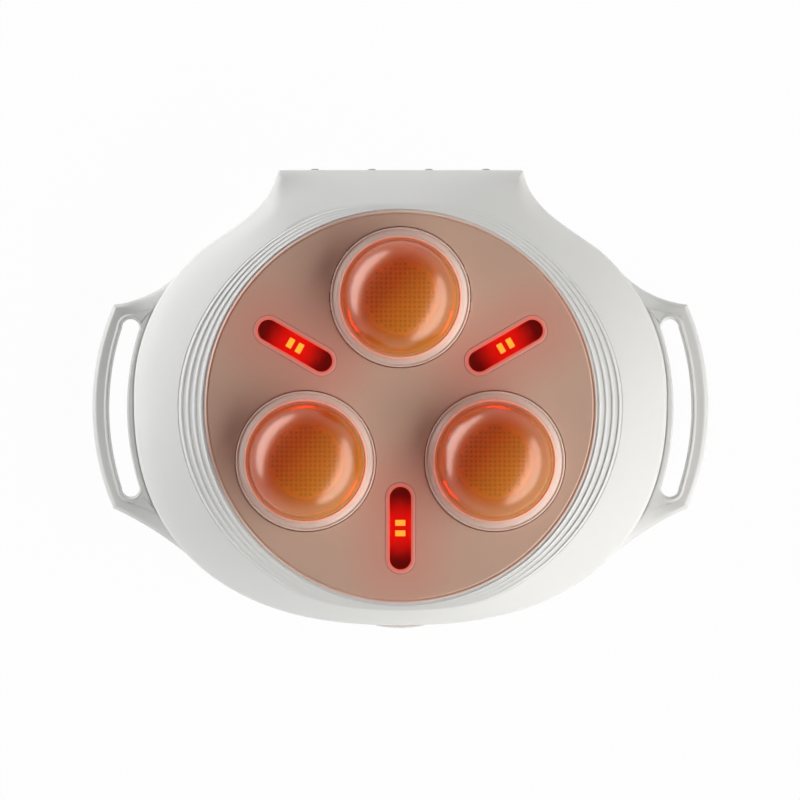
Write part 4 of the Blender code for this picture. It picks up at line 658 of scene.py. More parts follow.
def skirt_finish():
    """Pale silicone that lets a little light through, with painted light: orange paint and glow at the lip
    round the dome, and a faint red glow all over.
    """
    made, tree, shader = moulded("pale_silicone", (0.82, 0.64, 0.55), (0.85, 0.67, 0.58), 0.34, 1400.0)
    plain = shader.inputs["Base Color"].links[0].from_socket
    # Painted light: the lip takes the dome's orange light as paint and glow
    lip = spread(tree, distance_to_heads(tree, object_place(tree)), *PAINTED_LIP_GLOW_RUN, 0.8, 0.0)
    connect(tree, shader, {
        "Base Color": blend_colours(tree, lip, plain, (0.95, 0.42, 0.28)),
        "Emission Color": blend_colours(tree, lip, (0.04, 0.005, 0.004), (0.24, 0.06, 0.035)),
        "Emission Strength": 1.0,
        "Subsurface Weight": 0.25,
        "Subsurface Radius": (1.0, 0.45, 0.3),
        "Subsurface Scale": 3 * MM,
        "Coat Weight": 0.3,
        "Coat Roughness": 0.15,
    })
    return made


def amber_finish(name):
    """Clear amber: the plate inside shows through it, and the surface is polished. A painted glow lies in it,
    brighter towards the lower right.
    """
    made, tree, shader = new_finish("clear_amber_" + name)
    place = object_place(tree)
    # Painted light: the dome glows, brighter towards the lower right where the lamps light it most
    painted_light = spread(tree, towards_painted_light_side(tree, place, name), -6 * MM, 20 * MM, 0.0, 1.0)
    connect(tree, shader, {
        "Base Color": blend_colours(tree, noise(tree, place, 45.0), (0.90, 0.20, 0.008), (0.95, 0.26, 0.013)),
        "Emission Color": blend_colours(tree, painted_light, (0.02, 0.006, 0.0), (0.05, 0.065, 0.008)),
        "Emission Strength": 1.0,
        "Transmission Weight": 0.85,
        "IOR": 1.33,
        "Roughness": uneven(tree, place, 120.0, 0.15, 0.2),
        "Coat Weight": 1.0,
        "Coat IOR": 1.55,
        "Coat Roughness": 0.27,
    })
    return made


def heater_finish(name):
    """Warm brown plate with dark dots, and a painted glow that shows through the dome, brighter towards the
    lower right.
    """
    made, tree, shader = moulded("heater_" + name, (0.5, 0.15, 0.06), (0.58, 0.18, 0.07), 0.5, 1200.0)
    place = object_place(tree)
    plain = shader.inputs["Base Color"].links[0].from_socket
    height = add_node(tree, "ShaderNodeSeparateXYZ", {0: place}).outputs["Z"]
    dots = spread(tree, height, HEATER_TOP_Z + 0.1 * MM, HEATER_TOP_Z + 0.25 * MM, 0.0, 1.0)
    # Painted light: the plate glows, brighter towards the lower right
    painted_light = spread(tree, towards_painted_light_side(tree, place, name), -9 * MM, 11 * MM, 0.0, 1.0)
    painted_light = blend_colours(tree, painted_light, (0.04, 0.015, 0.006), (0.24, 0.34, 0.17))
    connect(tree, shader, {
        "Base Color": blend_colours(tree, dots, plain, (0.14, 0.04, 0.025)),
        "Emission Color": blend_colours(tree, math_of(tree, "MULTIPLY", dots, 0.35), painted_light, (0.0, 0.0, 0.0)),
        "Emission Strength": 1.0,
    })
    return made


def lens_finish():
    """Clear window pane with a light red tint."""
    made, tree, shader = new_finish("red_pane")
    streaks = noise(tree, object_place(tree), 120.0)
    connect(tree, shader, {
        "Base Color": blend_colours(tree, streaks, (1.0, 0.52, 0.40), (1.0, 0.58, 0.46)),
        "Transmission Weight": 1.0,
        "Roughness": 0.06,
        "IOR": 1.25,
    })
    return made


def painted_red_glow(name, bright, dark):
    """A surface that glows with painted red light from the window, brightest at the chips and dark at the round
    ends.
    """
    made, tree, shader = new_finish(name)
    place = object_place(tree)
    shift = uneven(tree, place, 300.0, -0.4 * MM, 0.4 * MM)
    away = math_of(tree, "ADD", distance_to_window_middles(tree, place), shift)
    # Painted light: the glow stands for the chips' red light on the tray and board
    share = spread(tree, away, *LIT_RUN, 1.0, 0.0, "SMOOTHSTEP")
    connect(tree, shader, {
        "Base Color": blend_colours(tree, share, (0.10, 0.0, 0.0), (0.25, 0.0, 0.0)),
        "Emission Color": blend_colours(tree, share, dark, bright),
        "Emission Strength": 1.0,
        "Roughness": 0.6,
    })
    return made


def window_rim_finish():
    """Pale rim of the window, pink with painted red light: redder paint and a red glow towards the slot."""
    made, tree, shader = new_finish("window_rim")
    place = object_place(tree)
    edge = WINDOW_WIDTH / 2
    # Painted light: the red light that comes up beside the window, as paint and glow
    share = spread(tree, distance_to_windows(tree, place), edge, edge + WINDOW_RIM_WIDTH, 1.0, 0.0)
    connect(tree, shader, {
        "Base Color": blend_colours(tree, share, (0.78, 0.50, 0.42), (0.82, 0.15, 0.10)),
        "Emission Color": blend_colours(tree, share, (0.035, 0.005, 0.004), (0.34, 0.018, 0.01)),
        "Emission Strength": 1.0,
        "Roughness": uneven(tree, place, 200.0, 0.28, 0.34),
    })
    return made


def chip_finish():
    """Lit yellow chips with brighter flecks."""
    made, tree, shader = new_finish("lit_chip")
    light = blend_colours(tree, noise(tree, object_place(tree), 900.0), (1.0, 0.62, 0.05), (1.0, 0.85, 0.13))
    connect(tree, shader, {"Base Color": light, "Emission Color": light, "Emission Strength": 1.0})
    return made


WHITE_CASE = plastic("white_satin", (0.80, 0.80, 0.785), (0.825, 0.825, 0.81), 0.4)
# A darker copy of the case white for the back cover and loops: painted shade, as they sit low and lit less
# beside the case
WHITE_PAINTED_SHADE = plastic("white_satin_back", (0.74, 0.74, 0.73), (0.77, 0.77, 0.755), 0.42)
CHAMPAGNE = panel_finish()
SILICONE = skirt_finish()
AMBER = {name: amber_finish(name) for name in HEAD_TURNS}
HEATER = {name: heater_finish(name) for name in HEAD_TURNS}
PANE = lens_finish()
LIT_TRAY = painted_red_glow("lit_tray", (0.64, 0.004, 0.002), (0.085, 0.0, 0.0))
LIT_STRIP = painted_red_glow("lit_strip", (0.60, 0.004, 0.002), (0.075, 0.0, 0.0))
RIM = window_rim_finish()
CHIP = chip_finish()
KEY_GREY = plastic("key_grey", (0.42, 0.42, 0.41), (0.46, 0.46, 0.45), 0.38)
PLUG_SOFT = plastic("plug_soft", (0.78, 0.72, 0.69), (0.81, 0.75, 0.72), 0.5)
GEAR_PLASTIC = plastic("ivory_acetal", (0.78, 0.72, 0.60), (0.82, 0.76, 0.65), 0.4)
STEEL = brushed_metal("steel", (0.55, 0.55, 0.56), (0.62, 0.62, 0.63), 0.32)
BRONZE = brushed_metal("bronze", (0.50, 0.30, 0.13), (0.58, 0.36, 0.17), 0.38)
BOARD = plastic("board_green", (0.02, 0.16, 0.06), (0.03, 0.21, 0.08), 0.45)
BATTERY = plastic("battery_blue", (0.04, 0.13, 0.36), (0.05, 0.16, 0.42), 0.4)
SLOT_FINISHES = {
    "shell": WHITE_CASE, "panel": CHAMPAGNE, "skirt": SILICONE, "dome": AMBER["top"],
    "gear_plastic": GEAR_PLASTIC, "steel": STEEL, "bronze": BRONZE, "heater": HEATER["top"],
    "red_lens": PANE, "light_tray": LIT_TRAY,
    "light_board": LIT_STRIP, "button": KEY_GREY, "circuit_board": BOARD, "plug_silicone": PLUG_SOFT,
    "battery": BATTERY,
}


# Case outline

def smooth_step(share):
    return share ** 2 * (3 - 2 * share)


def superellipse(turn, reach, power):
    """The point of the right half in a direction of -90 to 90 degrees from the body's middle."""
    across, along = math.cos(turn), math.sin(turn)
    radius = ((across / BODY_HALF_WIDTH) ** power + (abs(along) / reach) ** power) ** (-1 / power)
    return Vector((radius * across, BODY_MID_Y + radius * along))


def cubic(points, share):
    rest = 1 - share
    weights = (rest ** 3, 3 * rest ** 2 * share, 3 * rest * share ** 2, share ** 3)
    return sum((point * weight for point, weight in zip(points, weights)), Vector((0, 0)))


def case_outline():
    """Points round the case from the bottom middle, up the right side and down the left.

    Each entry is the point and how much it belongs to the neck, from 0 to 1.
    """
    half = []
    for i in range(OUTLINE_STEPS_DOWN):
        turn = -QUARTER_TURN * (1 - i / OUTLINE_STEPS_DOWN)
        half.append((superellipse(turn, BODY_REACH_DOWN, BODY_DOWN_POWER), 0))
    foot_rise = BODY_REACH_UP * (1 - (NECK_FOOT_X / BODY_HALF_WIDTH) ** BODY_UP_POWER) ** (1 / BODY_UP_POWER)
    foot_turn = math.atan2(foot_rise, NECK_FOOT_X)
    for i in range(OUTLINE_STEPS_UP):
        half.append((superellipse(foot_turn * i / OUTLINE_STEPS_UP, BODY_REACH_UP, BODY_UP_POWER), 0))
    foot = superellipse(foot_turn, BODY_REACH_UP, BODY_UP_POWER)
    corner = Vector((NECK_HALF_WIDTH, NECK_TOP_Y - NECK_CORNER_ROUND))
    flare = (
        foot,
        foot + NECK_FOOT_PULL * Vector((-math.cos(NECK_FOOT_SLOPE), math.sin(NECK_FOOT_SLOPE))),
        corner + NECK_TOP_PULL * Vector((math.cos(NECK_TOP_SLOPE), -math.sin(NECK_TOP_SLOPE))),
        corner,
    )
    for i in range(OUTLINE_STEPS_NECK):
        share = i / OUTLINE_STEPS_NECK
        half.append((cubic(flare, share), smooth_step(share)))
    middle = corner - Vector((NECK_CORNER_ROUND, 0))
    for i in range(OUTLINE_STEPS_CORNER + 1):
        turn = QUARTER_TURN * i / OUTLINE_STEPS_CORNER
        half.append((middle + NECK_CORNER_ROUND * Vector((math.cos(turn), math.sin(turn))), 1))
    for i in range(1, OUTLINE_STEPS_TOP + 1):
        half.append((Vector((middle.x * (1 - i / OUTLINE_STEPS_TOP), NECK_TOP_Y)), 1))
    half[0] = (Vector((0, BODY_MID_Y - BODY_REACH_DOWN)), 0)
    other = [(Vector((-point.x, point.y)), neck) for point, neck in reversed(half[1:-1])]
    return half + other


OUTLINE = case_outline()
EVERY = range(len(OUTLINE))


def outward(index):
    """Unit normal of the outline at a point."""
    before = OUTLINE[index - 1][0]
    after = OUTLINE[(index + 1) % len(OUTLINE)][0]
    run = (after - before).normalized()
    return Vector((run.y, -run.x))


SLANTS = [max(outward(i).dot(OUTLINE[i][0].normalized()), LEAST_SLANT_SHARE) for i in EVERY]


def drawn_in(index, inset):
    """A point of the outline moved towards the panel's middle so that the wall there is inset thick."""
    point = OUTLINE[index][0]
    return point * (1 - inset / SLANTS[index] / point.length)


def oval_point(index, half_width, half_height):
    """Where an oval about the panel's middle meets the ray to a point of the outline."""
    ray = OUTLINE[index][0].normalized()
    return ray / math.hypot(ray.x / half_width, ray.y / half_height)


def lofted(flat, height):
    return Vector((flat.x, flat.y, height))


# Front cover

def eased(value, start, end):
    """Smooth step from 0 at the start to 1 at the end."""
    return smooth_step(min(1, max(0, (value - start) / (end - start))))


def rib_turn(index):
    """Angle between the ray to a point of the outline and the line across the panel."""
    point = OUTLINE[index][0]
    return math.atan2(abs(point.y), abs(point.x))


def upper_half(index):
    """1 for a point of the outline above the panel's middle, 0 for one below."""
    return int(OUTLINE[index][0].y > 0)


def rib_reach(index, pitches):
    """How far from the panel's middle the ribs are, so many pitches out from the first crest."""
    turn = rib_turn(index)
    half = upper_half(index)
    near = math.exp(-(turn / RIB_SPREAD[half]) ** 2)
    first = RIB_FIRST_FAR[half] + (RIB_FIRST_X - RIB_FIRST_FAR[half]) * near
    pitch = RIB_PITCH_FAR + (RIB_PITCH - RIB_PITCH_FAR) * near
    pitch += (RIB_PITCH_CLOSED - pitch) * eased(turn, *RIB_CLOSING)
    return first + pitches * pitch


def rib_fade(index):
    ray = OUTLINE[index][0].normalized()
    return max(abs(ray.x), RIB_FADE_SHARE)


def rib_foot_height(index):
    return PANEL_TOP_Z - RIB_COUNT * RIB_DROP * rib_fade(index)


def on_ray(index, reach, height):
    return lofted(OUTLINE[index][0].normalized() * reach, height)


def edge_height(index):
    """Top of the upright side wall: higher where the crown beside the panel is narrow."""
    point, neck = OUTLINE[index]
    run = point.length - oval_point(index, RIB_OUTER_X, RIB_OUTER_Y).length
    body = rib_foot_height(index) - CROWN_RISE * (run / CROWN_RUN) ** CROWN_RUN_POWER
    return body + (NECK_EDGE_Z - body) * neck


def edge_point(index, turn):
    """A point on the round between the side wall and the crown."""
    neck = OUTLINE[index][1]
    radius = EDGE_ROUND + (NECK_EDGE_ROUND - EDGE_ROUND) * neck
    flat = drawn_in(index, radius * (1 - math.cos(turn)))
    return lofted(flat, edge_height(index) + radius * math.sin(turn))


def outline_angle(index):
    point = OUTLINE[index][0]
    return math.atan2(-point.x, point.y)


def softened(values):
    """Values round the case, each averaged over the directions beside it."""
    made = []
    for i in EVERY:
        total = weight_total = 0
        for step in range(-SOFTEN_POINTS, SOFTEN_POINTS + 1):
            j = (i + step) % len(OUTLINE)
            away = (outline_angle(j) - outline_angle(i) + HALF_TURN) % math.tau - HALF_TURN
            after, before = outline_angle((j + 1) % len(OUTLINE)), outline_angle(j - 1)
            width = abs((after - before + HALF_TURN) % math.tau - HALF_TURN)
            weight = width * max(0, 1 - (away / SOFTEN_TURN) ** 2) ** 2
            total += values[j] * weight
            weight_total += weight
        made.append(total / weight_total)
    return made


CROWN_EDGES = [edge_point(i, EDGE_ROUND_TURN) for i in EVERY]
SOFT_EDGE_REACH = softened([edge.xy.length for edge in CROWN_EDGES])
SOFT_EDGE_HEIGHT = softened([edge.z for edge in CROWN_EDGES])


def crown_point(index, share):
    """A point of the crown, from the edge round at share 0 to the outer rib at share 1.

    Away from the edge its height follows the softened edge, so that no crease runs in from the neck's corners.
    """
    edge = CROWN_EDGES[index]
    foot = on_ray(index, rib_reach(index, RIB_COUNT - 1 + RIB_RISER / RIB_PITCH), rib_foot_height(index))
    point = edge.lerp(foot, share)
    own = edge.z + (foot.z - edge.z) * share ** CROWN_POWER
    foot_reach = foot.xy.length
    soft_share = max(0, (SOFT_EDGE_REACH[index] - point.xy.length) / (SOFT_EDGE_REACH[index] - foot_reach))
    soft = SOFT_EDGE_HEIGHT[index] + (foot.z - SOFT_EDGE_HEIGHT[index]) * soft_share ** CROWN_POWER
    inside = min(1, share / CROWN_SOFT_SHARE)
    point.z = own + (soft - own) * smooth_step(inside)
    return point


def rib_row(crest, width, share, step, groove):
    """A row on a rib: outwards from its crest by a share of a width in pitches, stepped down and grooved."""
    row = []
    for i in EVERY:
        depth = groove * RIB_GROOVE * (1 - eased(rib_turn(i), *RIB_FADING[upper_half(i)]))
        height = PANEL_TOP_Z - (crest + step) * RIB_DROP * rib_fade(i) - depth
        row.append(on_ray(i, rib_reach(i, crest + share * width), height))
    return row


def front_cover_rows():
    low = PARTING_Z + PARTING_GAP / 2
    rows = [
        [lofted(drawn_in(i, PARTING_ROUND), low) for i in EVERY],
        [lofted(drawn_in(i, PARTING_ROUND_MIDDLE), low + PARTING_ROUND_MIDDLE) for i in EVERY],
        [lofted(OUTLINE[i][0], low + PARTING_ROUND) for i in EVERY],
    ]
    for step in range(EDGE_ROUND_STEPS + 1):
        turn = EDGE_ROUND_TURN * step / EDGE_ROUND_STEPS
        rows.append([edge_point(i, turn) for i in EVERY])
    for step in range(1, CROWN_STEPS + 1):
        rows.append([crown_point(i, step / CROWN_STEPS) for i in EVERY])
    for shares in reversed(RIB_FOOT):
        rows.append(rib_row(RIB_COUNT - 1, RIB_RISER / RIB_PITCH, *shares))
    for crest in reversed(range(RIB_COUNT - 1)):
        for shares in reversed(RIB_PROFILE):
            rows.append(rib_row(crest, 1, *shares))
    for inward, fall in RIB_INNER_SIDE:
        rows.append([on_ray(i, rib_reach(i, 0) - inward, PANEL_TOP_Z - fall) for i in EVERY])
    for radius, height in (
        (PANEL_HOLE_RADIUS, PANEL_TOP_Z - LEDGE_FALL),
        (PANEL_HOLE_RADIUS, LEDGE_TOP_Z),
        (LEDGE_RADIUS, LEDGE_TOP_Z),
        (LEDGE_RADIUS, LEDGE_BOTTOM_Z),
    ):
        rows.append([lofted(oval_point(i, radius, radius), height) for i in EVERY])
    rows.append([
        lofted(oval_point(i, RIB_OUTER_X, RIB_OUTER_Y), min(rib_foot_height(i) - WALL, LEDGE_BOTTOM_Z))
        for i in EVERY
    ])
    rows.append([lofted(drawn_in(i, 2 * WALL), edge_height(i) + WALL / 2) for i in EVERY])
    rows.append([lofted(drawn_in(i, WALL), edge_height(i) - WALL / 3) for i in EVERY])
    rows.append([lofted(drawn_in(i, WALL), low) for i in EVERY])
    return rows


def front_cover():
    cover = pulled("front_cover", front_cover_rows(), closed=True)
    for number, x in enumerate(BUTTON_PLACES_X):
        cut(cover, rod(
            f"key_hole_{number}", BUTTON_RADIUS + PARTING_GAP,
            (x, NECK_TOP_Y - WALL - OVERRUN, BUTTON_Z), (x, NECK_TOP_Y + OVERRUN, BUTTON_Z),
            BUTTON_STEPS, (QUARTER_TURN, 0, 0),
        ))
    hole = plug_slab("plug_hole", PARTING_GAP, BOTTOM_WALL_Y - OVERRUN, BOTTOM_WALL_Y + WALL + OVERRUN)
    cut(cover, hole)
    finished(cover, WHITE_CASE, "case", "shell", "front_shell")


def plug_slab(name, clearance, start, end):
    """A rounded slab in the bottom wall, as thick along Y as its start and end say."""
    half_width, half_height = PLUG_WIDTH / 2 + clearance, PLUG_HEIGHT / 2 + clearance
    slab = block(name, (-half_width, start, PLUG_Z - half_height), (half_width, end, PLUG_Z + half_height))
    edit(slab)
    bpy.ops.mesh.select_mode(type="EDGE")
    bpy.ops.mesh.select_all(action="DESELECT")
    shape = bmesh.from_edit_mesh(slab.data)
    for edge in shape.edges:
        run = edge.verts[1].co - edge.verts[0].co
        edge.select_set(abs(run.y) > max(abs(run.x), abs(run.z)))
    bmesh.update_edit_mesh(slab.data)
    bpy.ops.mesh.bevel(offset=PLUG_ROUND + clearance, segments=8)
    bpy.ops.mesh.select_mode(type="VERT")
    leave_edit()
    return slab


# Back cover and strap loops

def back_cover_rows():
    top = PARTING_Z - PARTING_GAP / 2
    rows = []
    for step in range(DISH_STEPS + 1):
        turn = QUARTER_TURN * step / DISH_STEPS
        reach = DISH_REACH_SHARE + (1 - DISH_REACH_SHARE) * math.sin(turn)
        height = (top - PARTING_ROUND) * (1 - math.cos(turn))
        rows.append([lofted(OUTLINE[i][0] * reach, height) for i in EVERY])
    rows.append([lofted(drawn_in(i, PARTING_ROUND_MIDDLE), top - PARTING_ROUND_MIDDLE) for i in EVERY])
    rows.append([lofted(drawn_in(i, PARTING_ROUND), top) for i in EVERY])
    rows.append([lofted(drawn_in(i, WALL), top) for i in EVERY])
    for step in reversed(range(DISH_STEPS // 2)):
        turn = QUARTER_TURN * 2 * step / DISH_STEPS
        reach = DISH_REACH_SHARE + (1 - DISH_REACH_SHARE) * math.sin(turn)
        height = WALL + (top - WALL) * (1 - math.cos(turn))
        rows.append([lofted(drawn_in(i, WALL) * reach, height) for i in EVERY])
    return rows


def outline_x(y):
    """Half width of the case at a height, between the bottom and the neck's foot."""
    reach, power = (BODY_REACH_UP, BODY_UP_POWER) if y > BODY_MID_Y else (BODY_REACH_DOWN, BODY_DOWN_POWER)
    return BODY_HALF_WIDTH * (1 - (abs(y - BODY_MID_Y) / reach) ** power) ** (1 / power)


def arc_point(x, middle_y, radius, y):
    """A point of an arc that bulges to +X and reaches x at its middle."""
    return Vector((x - radius + math.sqrt(radius ** 2 - (y - middle_y) ** 2), y))


def sagging_point(start, end, sag, share):
    run = end - start
    side = Vector((-run.y, run.x)).normalized()
    return start + run * share + side * sag * 4 * share * (1 - share)


def loop_path():
    """The right loop's outline, as pieces that each turn a share of 0 to 1 into a point."""
    middle_y = (LOOP_HIGH_Y + LOOP_LOW_Y) / 2
    low = arc_point(LOOP_REACH, middle_y, LOOP_BAR_RADIUS, LOOP_LOW_Y)
    high = arc_point(LOOP_REACH, middle_y, LOOP_BAR_RADIUS, LOOP_HIGH_Y)
    top = Vector((outline_x(WEB_TOP_Y), WEB_TOP_Y))
    bottom = Vector((outline_x(WEB_BOTTOM_Y), WEB_BOTTOM_Y))

    def bar(share):
        return arc_point(LOOP_REACH, middle_y, LOOP_BAR_RADIUS, LOOP_LOW_Y + (LOOP_HIGH_Y - LOOP_LOW_Y) * share)

    def root(share):
        y = WEB_TOP_Y + (WEB_BOTTOM_Y - WEB_TOP_Y) * share
        return Vector((outline_x(y), y)) * LOOP_ROOT_SHARE

    return (
        bar,
        lambda share: sagging_point(high, top, WEB_TOP_SAG, share),
        lambda share: top.lerp(top * LOOP_ROOT_SHARE, share),
        root,
        lambda share: (bottom * LOOP_ROOT_SHARE).lerp(bottom, share),
        lambda share: sagging_point(bottom, low, WEB_BOTTOM_SAG, share),
    )


def slot_path():
    """The right belt slot, as pieces that each turn a share of 0 to 1 into a point."""
    width = SLOT_OUTER_X - SLOT_INNER_X
    low = SLOT_MID_Y - SLOT_HALF_LENGTH + width / 2
    high = SLOT_MID_Y + SLOT_HALF_LENGTH - width / 2

    def end(start, finish, share):
        middle = (start + finish) / 2
        return middle + Matrix.Rotation(HALF_TURN * share, 2) @ (start - middle)

    outer_low, outer_high, inner_low, inner_high = (
        arc_point(x, SLOT_MID_Y, radius, y)
        for x, radius in ((SLOT_OUTER_X, SLOT_OUTER_RADIUS), (SLOT_INNER_X, SLOT_INNER_RADIUS))
        for y in (low, high)
    )
    return (
        lambda share: arc_point(SLOT_OUTER_X, SLOT_MID_Y, SLOT_OUTER_RADIUS, low + (high - low) * share),
        lambda share: end(outer_high, inner_high, share),
        lambda share: arc_point(SLOT_INNER_X, SLOT_MID_Y, SLOT_INNER_RADIUS, high + (low - high) * share),
        lambda share: end(inner_low, outer_low, share),
    )


def points_along(path, steps, ends):
    points = []
    for piece, count, end in zip(path, steps, ends):
        points.append(piece(0))
        for i in range(1, count):
            share = i / count
            if end:
                share = end + (1 - 2 * end) * (i - 1) / (count - 2)
            points.append(piece(share))
    return points


def inset(points, distance):
    """Closed outline moved inwards, to its left, by a distance."""
    moved = []
    for i, point in enumerate(points):
        before, after = points[i - 1], points[(i + 1) % len(points)]
        run = (after - before).normalized()
        moved.append(point + Vector((-run.y, run.x)) * distance)
    return moved


def mixed(first, second, shares):
    """Points of one row moved towards those of another, each by its own share."""
    return [a.lerp(b, share) for a, b, share in zip(first, second, shares)]


def web_shares():
    """How much each point of a loop's outline has the wide round of the webs."""
    shares = []
    for number, count in enumerate(LOOP_PIECE_STEPS):
        for i in range(count):
            way = i / count if number == 1 else 1 - i / count
            wide = eased(way, 0.02, 0.4) * (1 - eased(way, 0.85, 1.0))
            shares.append(wide if number in (1, 5) else 0)
    return shares


def bead_shares():
    """How much each point of a belt slot has the bead: all on the bar's side, none on the case's side."""
    shares = []
    for number, count in enumerate(SLOT_PIECE_STEPS):
        for i in range(count):
            way = i / count
            shares.append((1, 1 - eased(way, 0.5, 1.0), 0, eased(way, 0.0, 0.5))[number])
    return shares


def strap_loop(side, sign):
    """A flat bar with webs round a belt slot: rounded down to its outer edge, with a fine bead at the slot."""
    outer = points_along(loop_path(), LOOP_PIECE_STEPS, LOOP_END_SHARES)
    slot = points_along(slot_path(), SLOT_PIECE_STEPS, SLOT_END_SHARES)
    webs, beads = web_shares(), bead_shares()
    rows = []

    def add_row(points, height):
        rows.append([Vector((sign * point.x, point.y, height)) for point in points])

    add_row(inset(outer, LOOP_LOWER_ROUND), LOOP_BOTTOM_Z)
    add_row(inset(outer, LOOP_LOWER_ROUND_MIDDLE), LOOP_BOTTOM_Z + LOOP_LOWER_ROUND_MIDDLE)
    add_row(outer, LOOP_BOTTOM_Z + LOOP_LOWER_ROUND)
    for points, way, shares, table in ((outer, 1, webs, LOOP_EDGE_ROWS), (slot, -1, beads, SLOT_EDGE_ROWS)):
        for first, first_height, second, second_height in table:
            if points is slot:
                first, first_height, second, second_height = second, second_height, first, first_height
            add_row(mixed(inset(points, way * first * MM), inset(points, way * second * MM), shares), 0)
            for point, share in zip(rows[-1], shares):
                point.z = LOOP_TOP_Z + (first_height + (second_height - first_height) * share) * MM
    add_row(slot, LOOP_BOTTOM_Z + LOOP_LOWER_ROUND)
    add_row(inset(slot, -LOOP_LOWER_ROUND), LOOP_BOTTOM_Z)
    return pulled("strap_loop_" + side, rows, closed=True)


def screw_feet():
    return [(sign * x, y) for x, y in SCREW_PLACES for sign in (1, -1)]


def parting_channel():
    """A narrow ring round the case outline, cut into the loops' roots: the front cover's shadow line."""
    rows = []
    for out, height in (
        (0, PARTING_Z - CHANNEL_DEPTH), (CHANNEL_WIDTH, PARTING_Z - CHANNEL_DEPTH),
        (CHANNEL_WIDTH, PARTING_Z + OVERRUN), (0, PARTING_Z + OVERRUN),
    ):
        rows.append([lofted(drawn_in(i, -out), height) for i in EVERY])
    return pulled("parting_channel", rows, closed=True)


def back_cover():
    cover = pulled("back_cover", back_cover_rows())
    for side, sign in (("right", 1), ("left", -1)):
        combine(cover, strap_loop(side, sign), "UNION", "MANIFOLD")
    cut(cover, parting_channel(), "MANIFOLD")
    for number, (x, y) in enumerate(screw_feet()):
        top = PARTING_Z - PARTING_GAP
        boss = rod(f"boss_{number}", SCREW_BOSS_RADIUS, (x, y, WALL / 2), (x, y, top), 32)
        combine(cover, boss, "UNION", "MANIFOLD")
        recess = rod(f"recess_{number}", SCREW_RECESS_RADIUS, (x, y, -OVERRUN), (x, y, SCREW_SEAT_Z), 40)
        cut(cover, recess, "MANIFOLD")
    finished(cover, WHITE_PAINTED_SHADE, "case", "shell", "back_shell")


# Panel and heads

def head_middle(name):
    turn = HEAD_TURNS[name]
    return HEAD_ORBIT * math.cos(turn), HEAD_ORBIT * math.sin(turn)


def panel_disc():
    profile = [(PANEL_RADIUS, PANEL_BOTTOM_Z)]
    for inward, rise in PANEL_RIM:
        profile.append((PANEL_RADIUS - inward, PANEL_TOP_Z + rise))
    panel = turned("panel_disc", profile, PANEL_STEPS, closed=False)
    for name in HEAD_TURNS:
        x, y = head_middle(name)
        low, high = (x, y, PANEL_BOTTOM_Z - OVERRUN), (x, y, PANEL_TOP_Z + OVERRUN)
        cut(panel, rod("head_hole_" + name, HEAD_HOLE_RADIUS, low, high, HEAD_STEPS))
    rim = 2 * WINDOW_RIM_WIDTH
    for side in WINDOW_TURNS:
        low, high = PANEL_BOTTOM_Z - OVERRUN, PANEL_TOP_Z + OVERRUN
        cut(panel, stadium("slot_" + side, side, WINDOW_LENGTH, WINDOW_WIDTH, low, high))
        seat = PANEL_TOP_Z - WINDOW_RIM_DEPTH
        cut(panel, stadium("seat_" + side, side, WINDOW_LENGTH + rim, WINDOW_WIDTH + rim, seat, high))
    round_edges(panel, PANEL_HOLE_EDGE)
    finished(panel, CHAMPAGNE, "case", "panel", "face_panel")
    # The level face is shaded flat, so that its rounded edges don't tilt the light on it
    for face in panel.data.polygons:
        face.use_smooth = face.normal.z < LEVEL_FACE


def skirt_profile():
    """From the outer foot up over a fine bead and groove, up the flank to the lip, and down the bore."""
    return [
        (radius * MM, height * MM) for radius, height in (
            (28.35, 44.2), (28.35, 46.9), (28.3, 47.2), (28.2, 47.42), (28.05, 47.58), (27.9, 47.64),
            (27.75, 47.58), (27.6, 47.4), (27.48, 47.2), (27.36, 47.12), (27.24, 47.18), (27.1, 47.38),
            (26.95, 47.55), (26.6, 47.75), (26.2, 48.0), (25.8, 48.35), (25.5, 48.75), (25.25, 49.35),
            (25.1, 50.1), (24.98, 50.9), (24.85, 51.5), (24.65, 51.85), (24.4, 52.0), (24.15, 51.95),
            (23.95, 51.75), (23.86, 51.5), (23.86, 46.8), (27.3, 46.8), (27.3, 44.2),
        )
    ]


def dome_profile():
    """Outside from near the pole down to the foot, then up the inside."""
    def cap(radius, rise):
        return [
            (radius * math.sin(turn), DOME_SHOULDER_Z + rise * math.cos(turn))
            for turn in (QUARTER_TURN * (i + 0.25) / (DOME_ARC_STEPS + 0.25) for i in range(DOME_ARC_STEPS + 1))
        ]

    outer = cap(DOME_RADIUS, DOME_TOP_Z - DOME_SHOULDER_Z)
    bore = DOME_RADIUS - DOME_WALL
    inner = cap(bore, DOME_TOP_Z - DOME_SHOULDER_Z - DOME_WALL)
    return outer + [(DOME_RADIUS, DOME_FOOT_Z), (bore, DOME_FOOT_Z)] + inner[::-1]


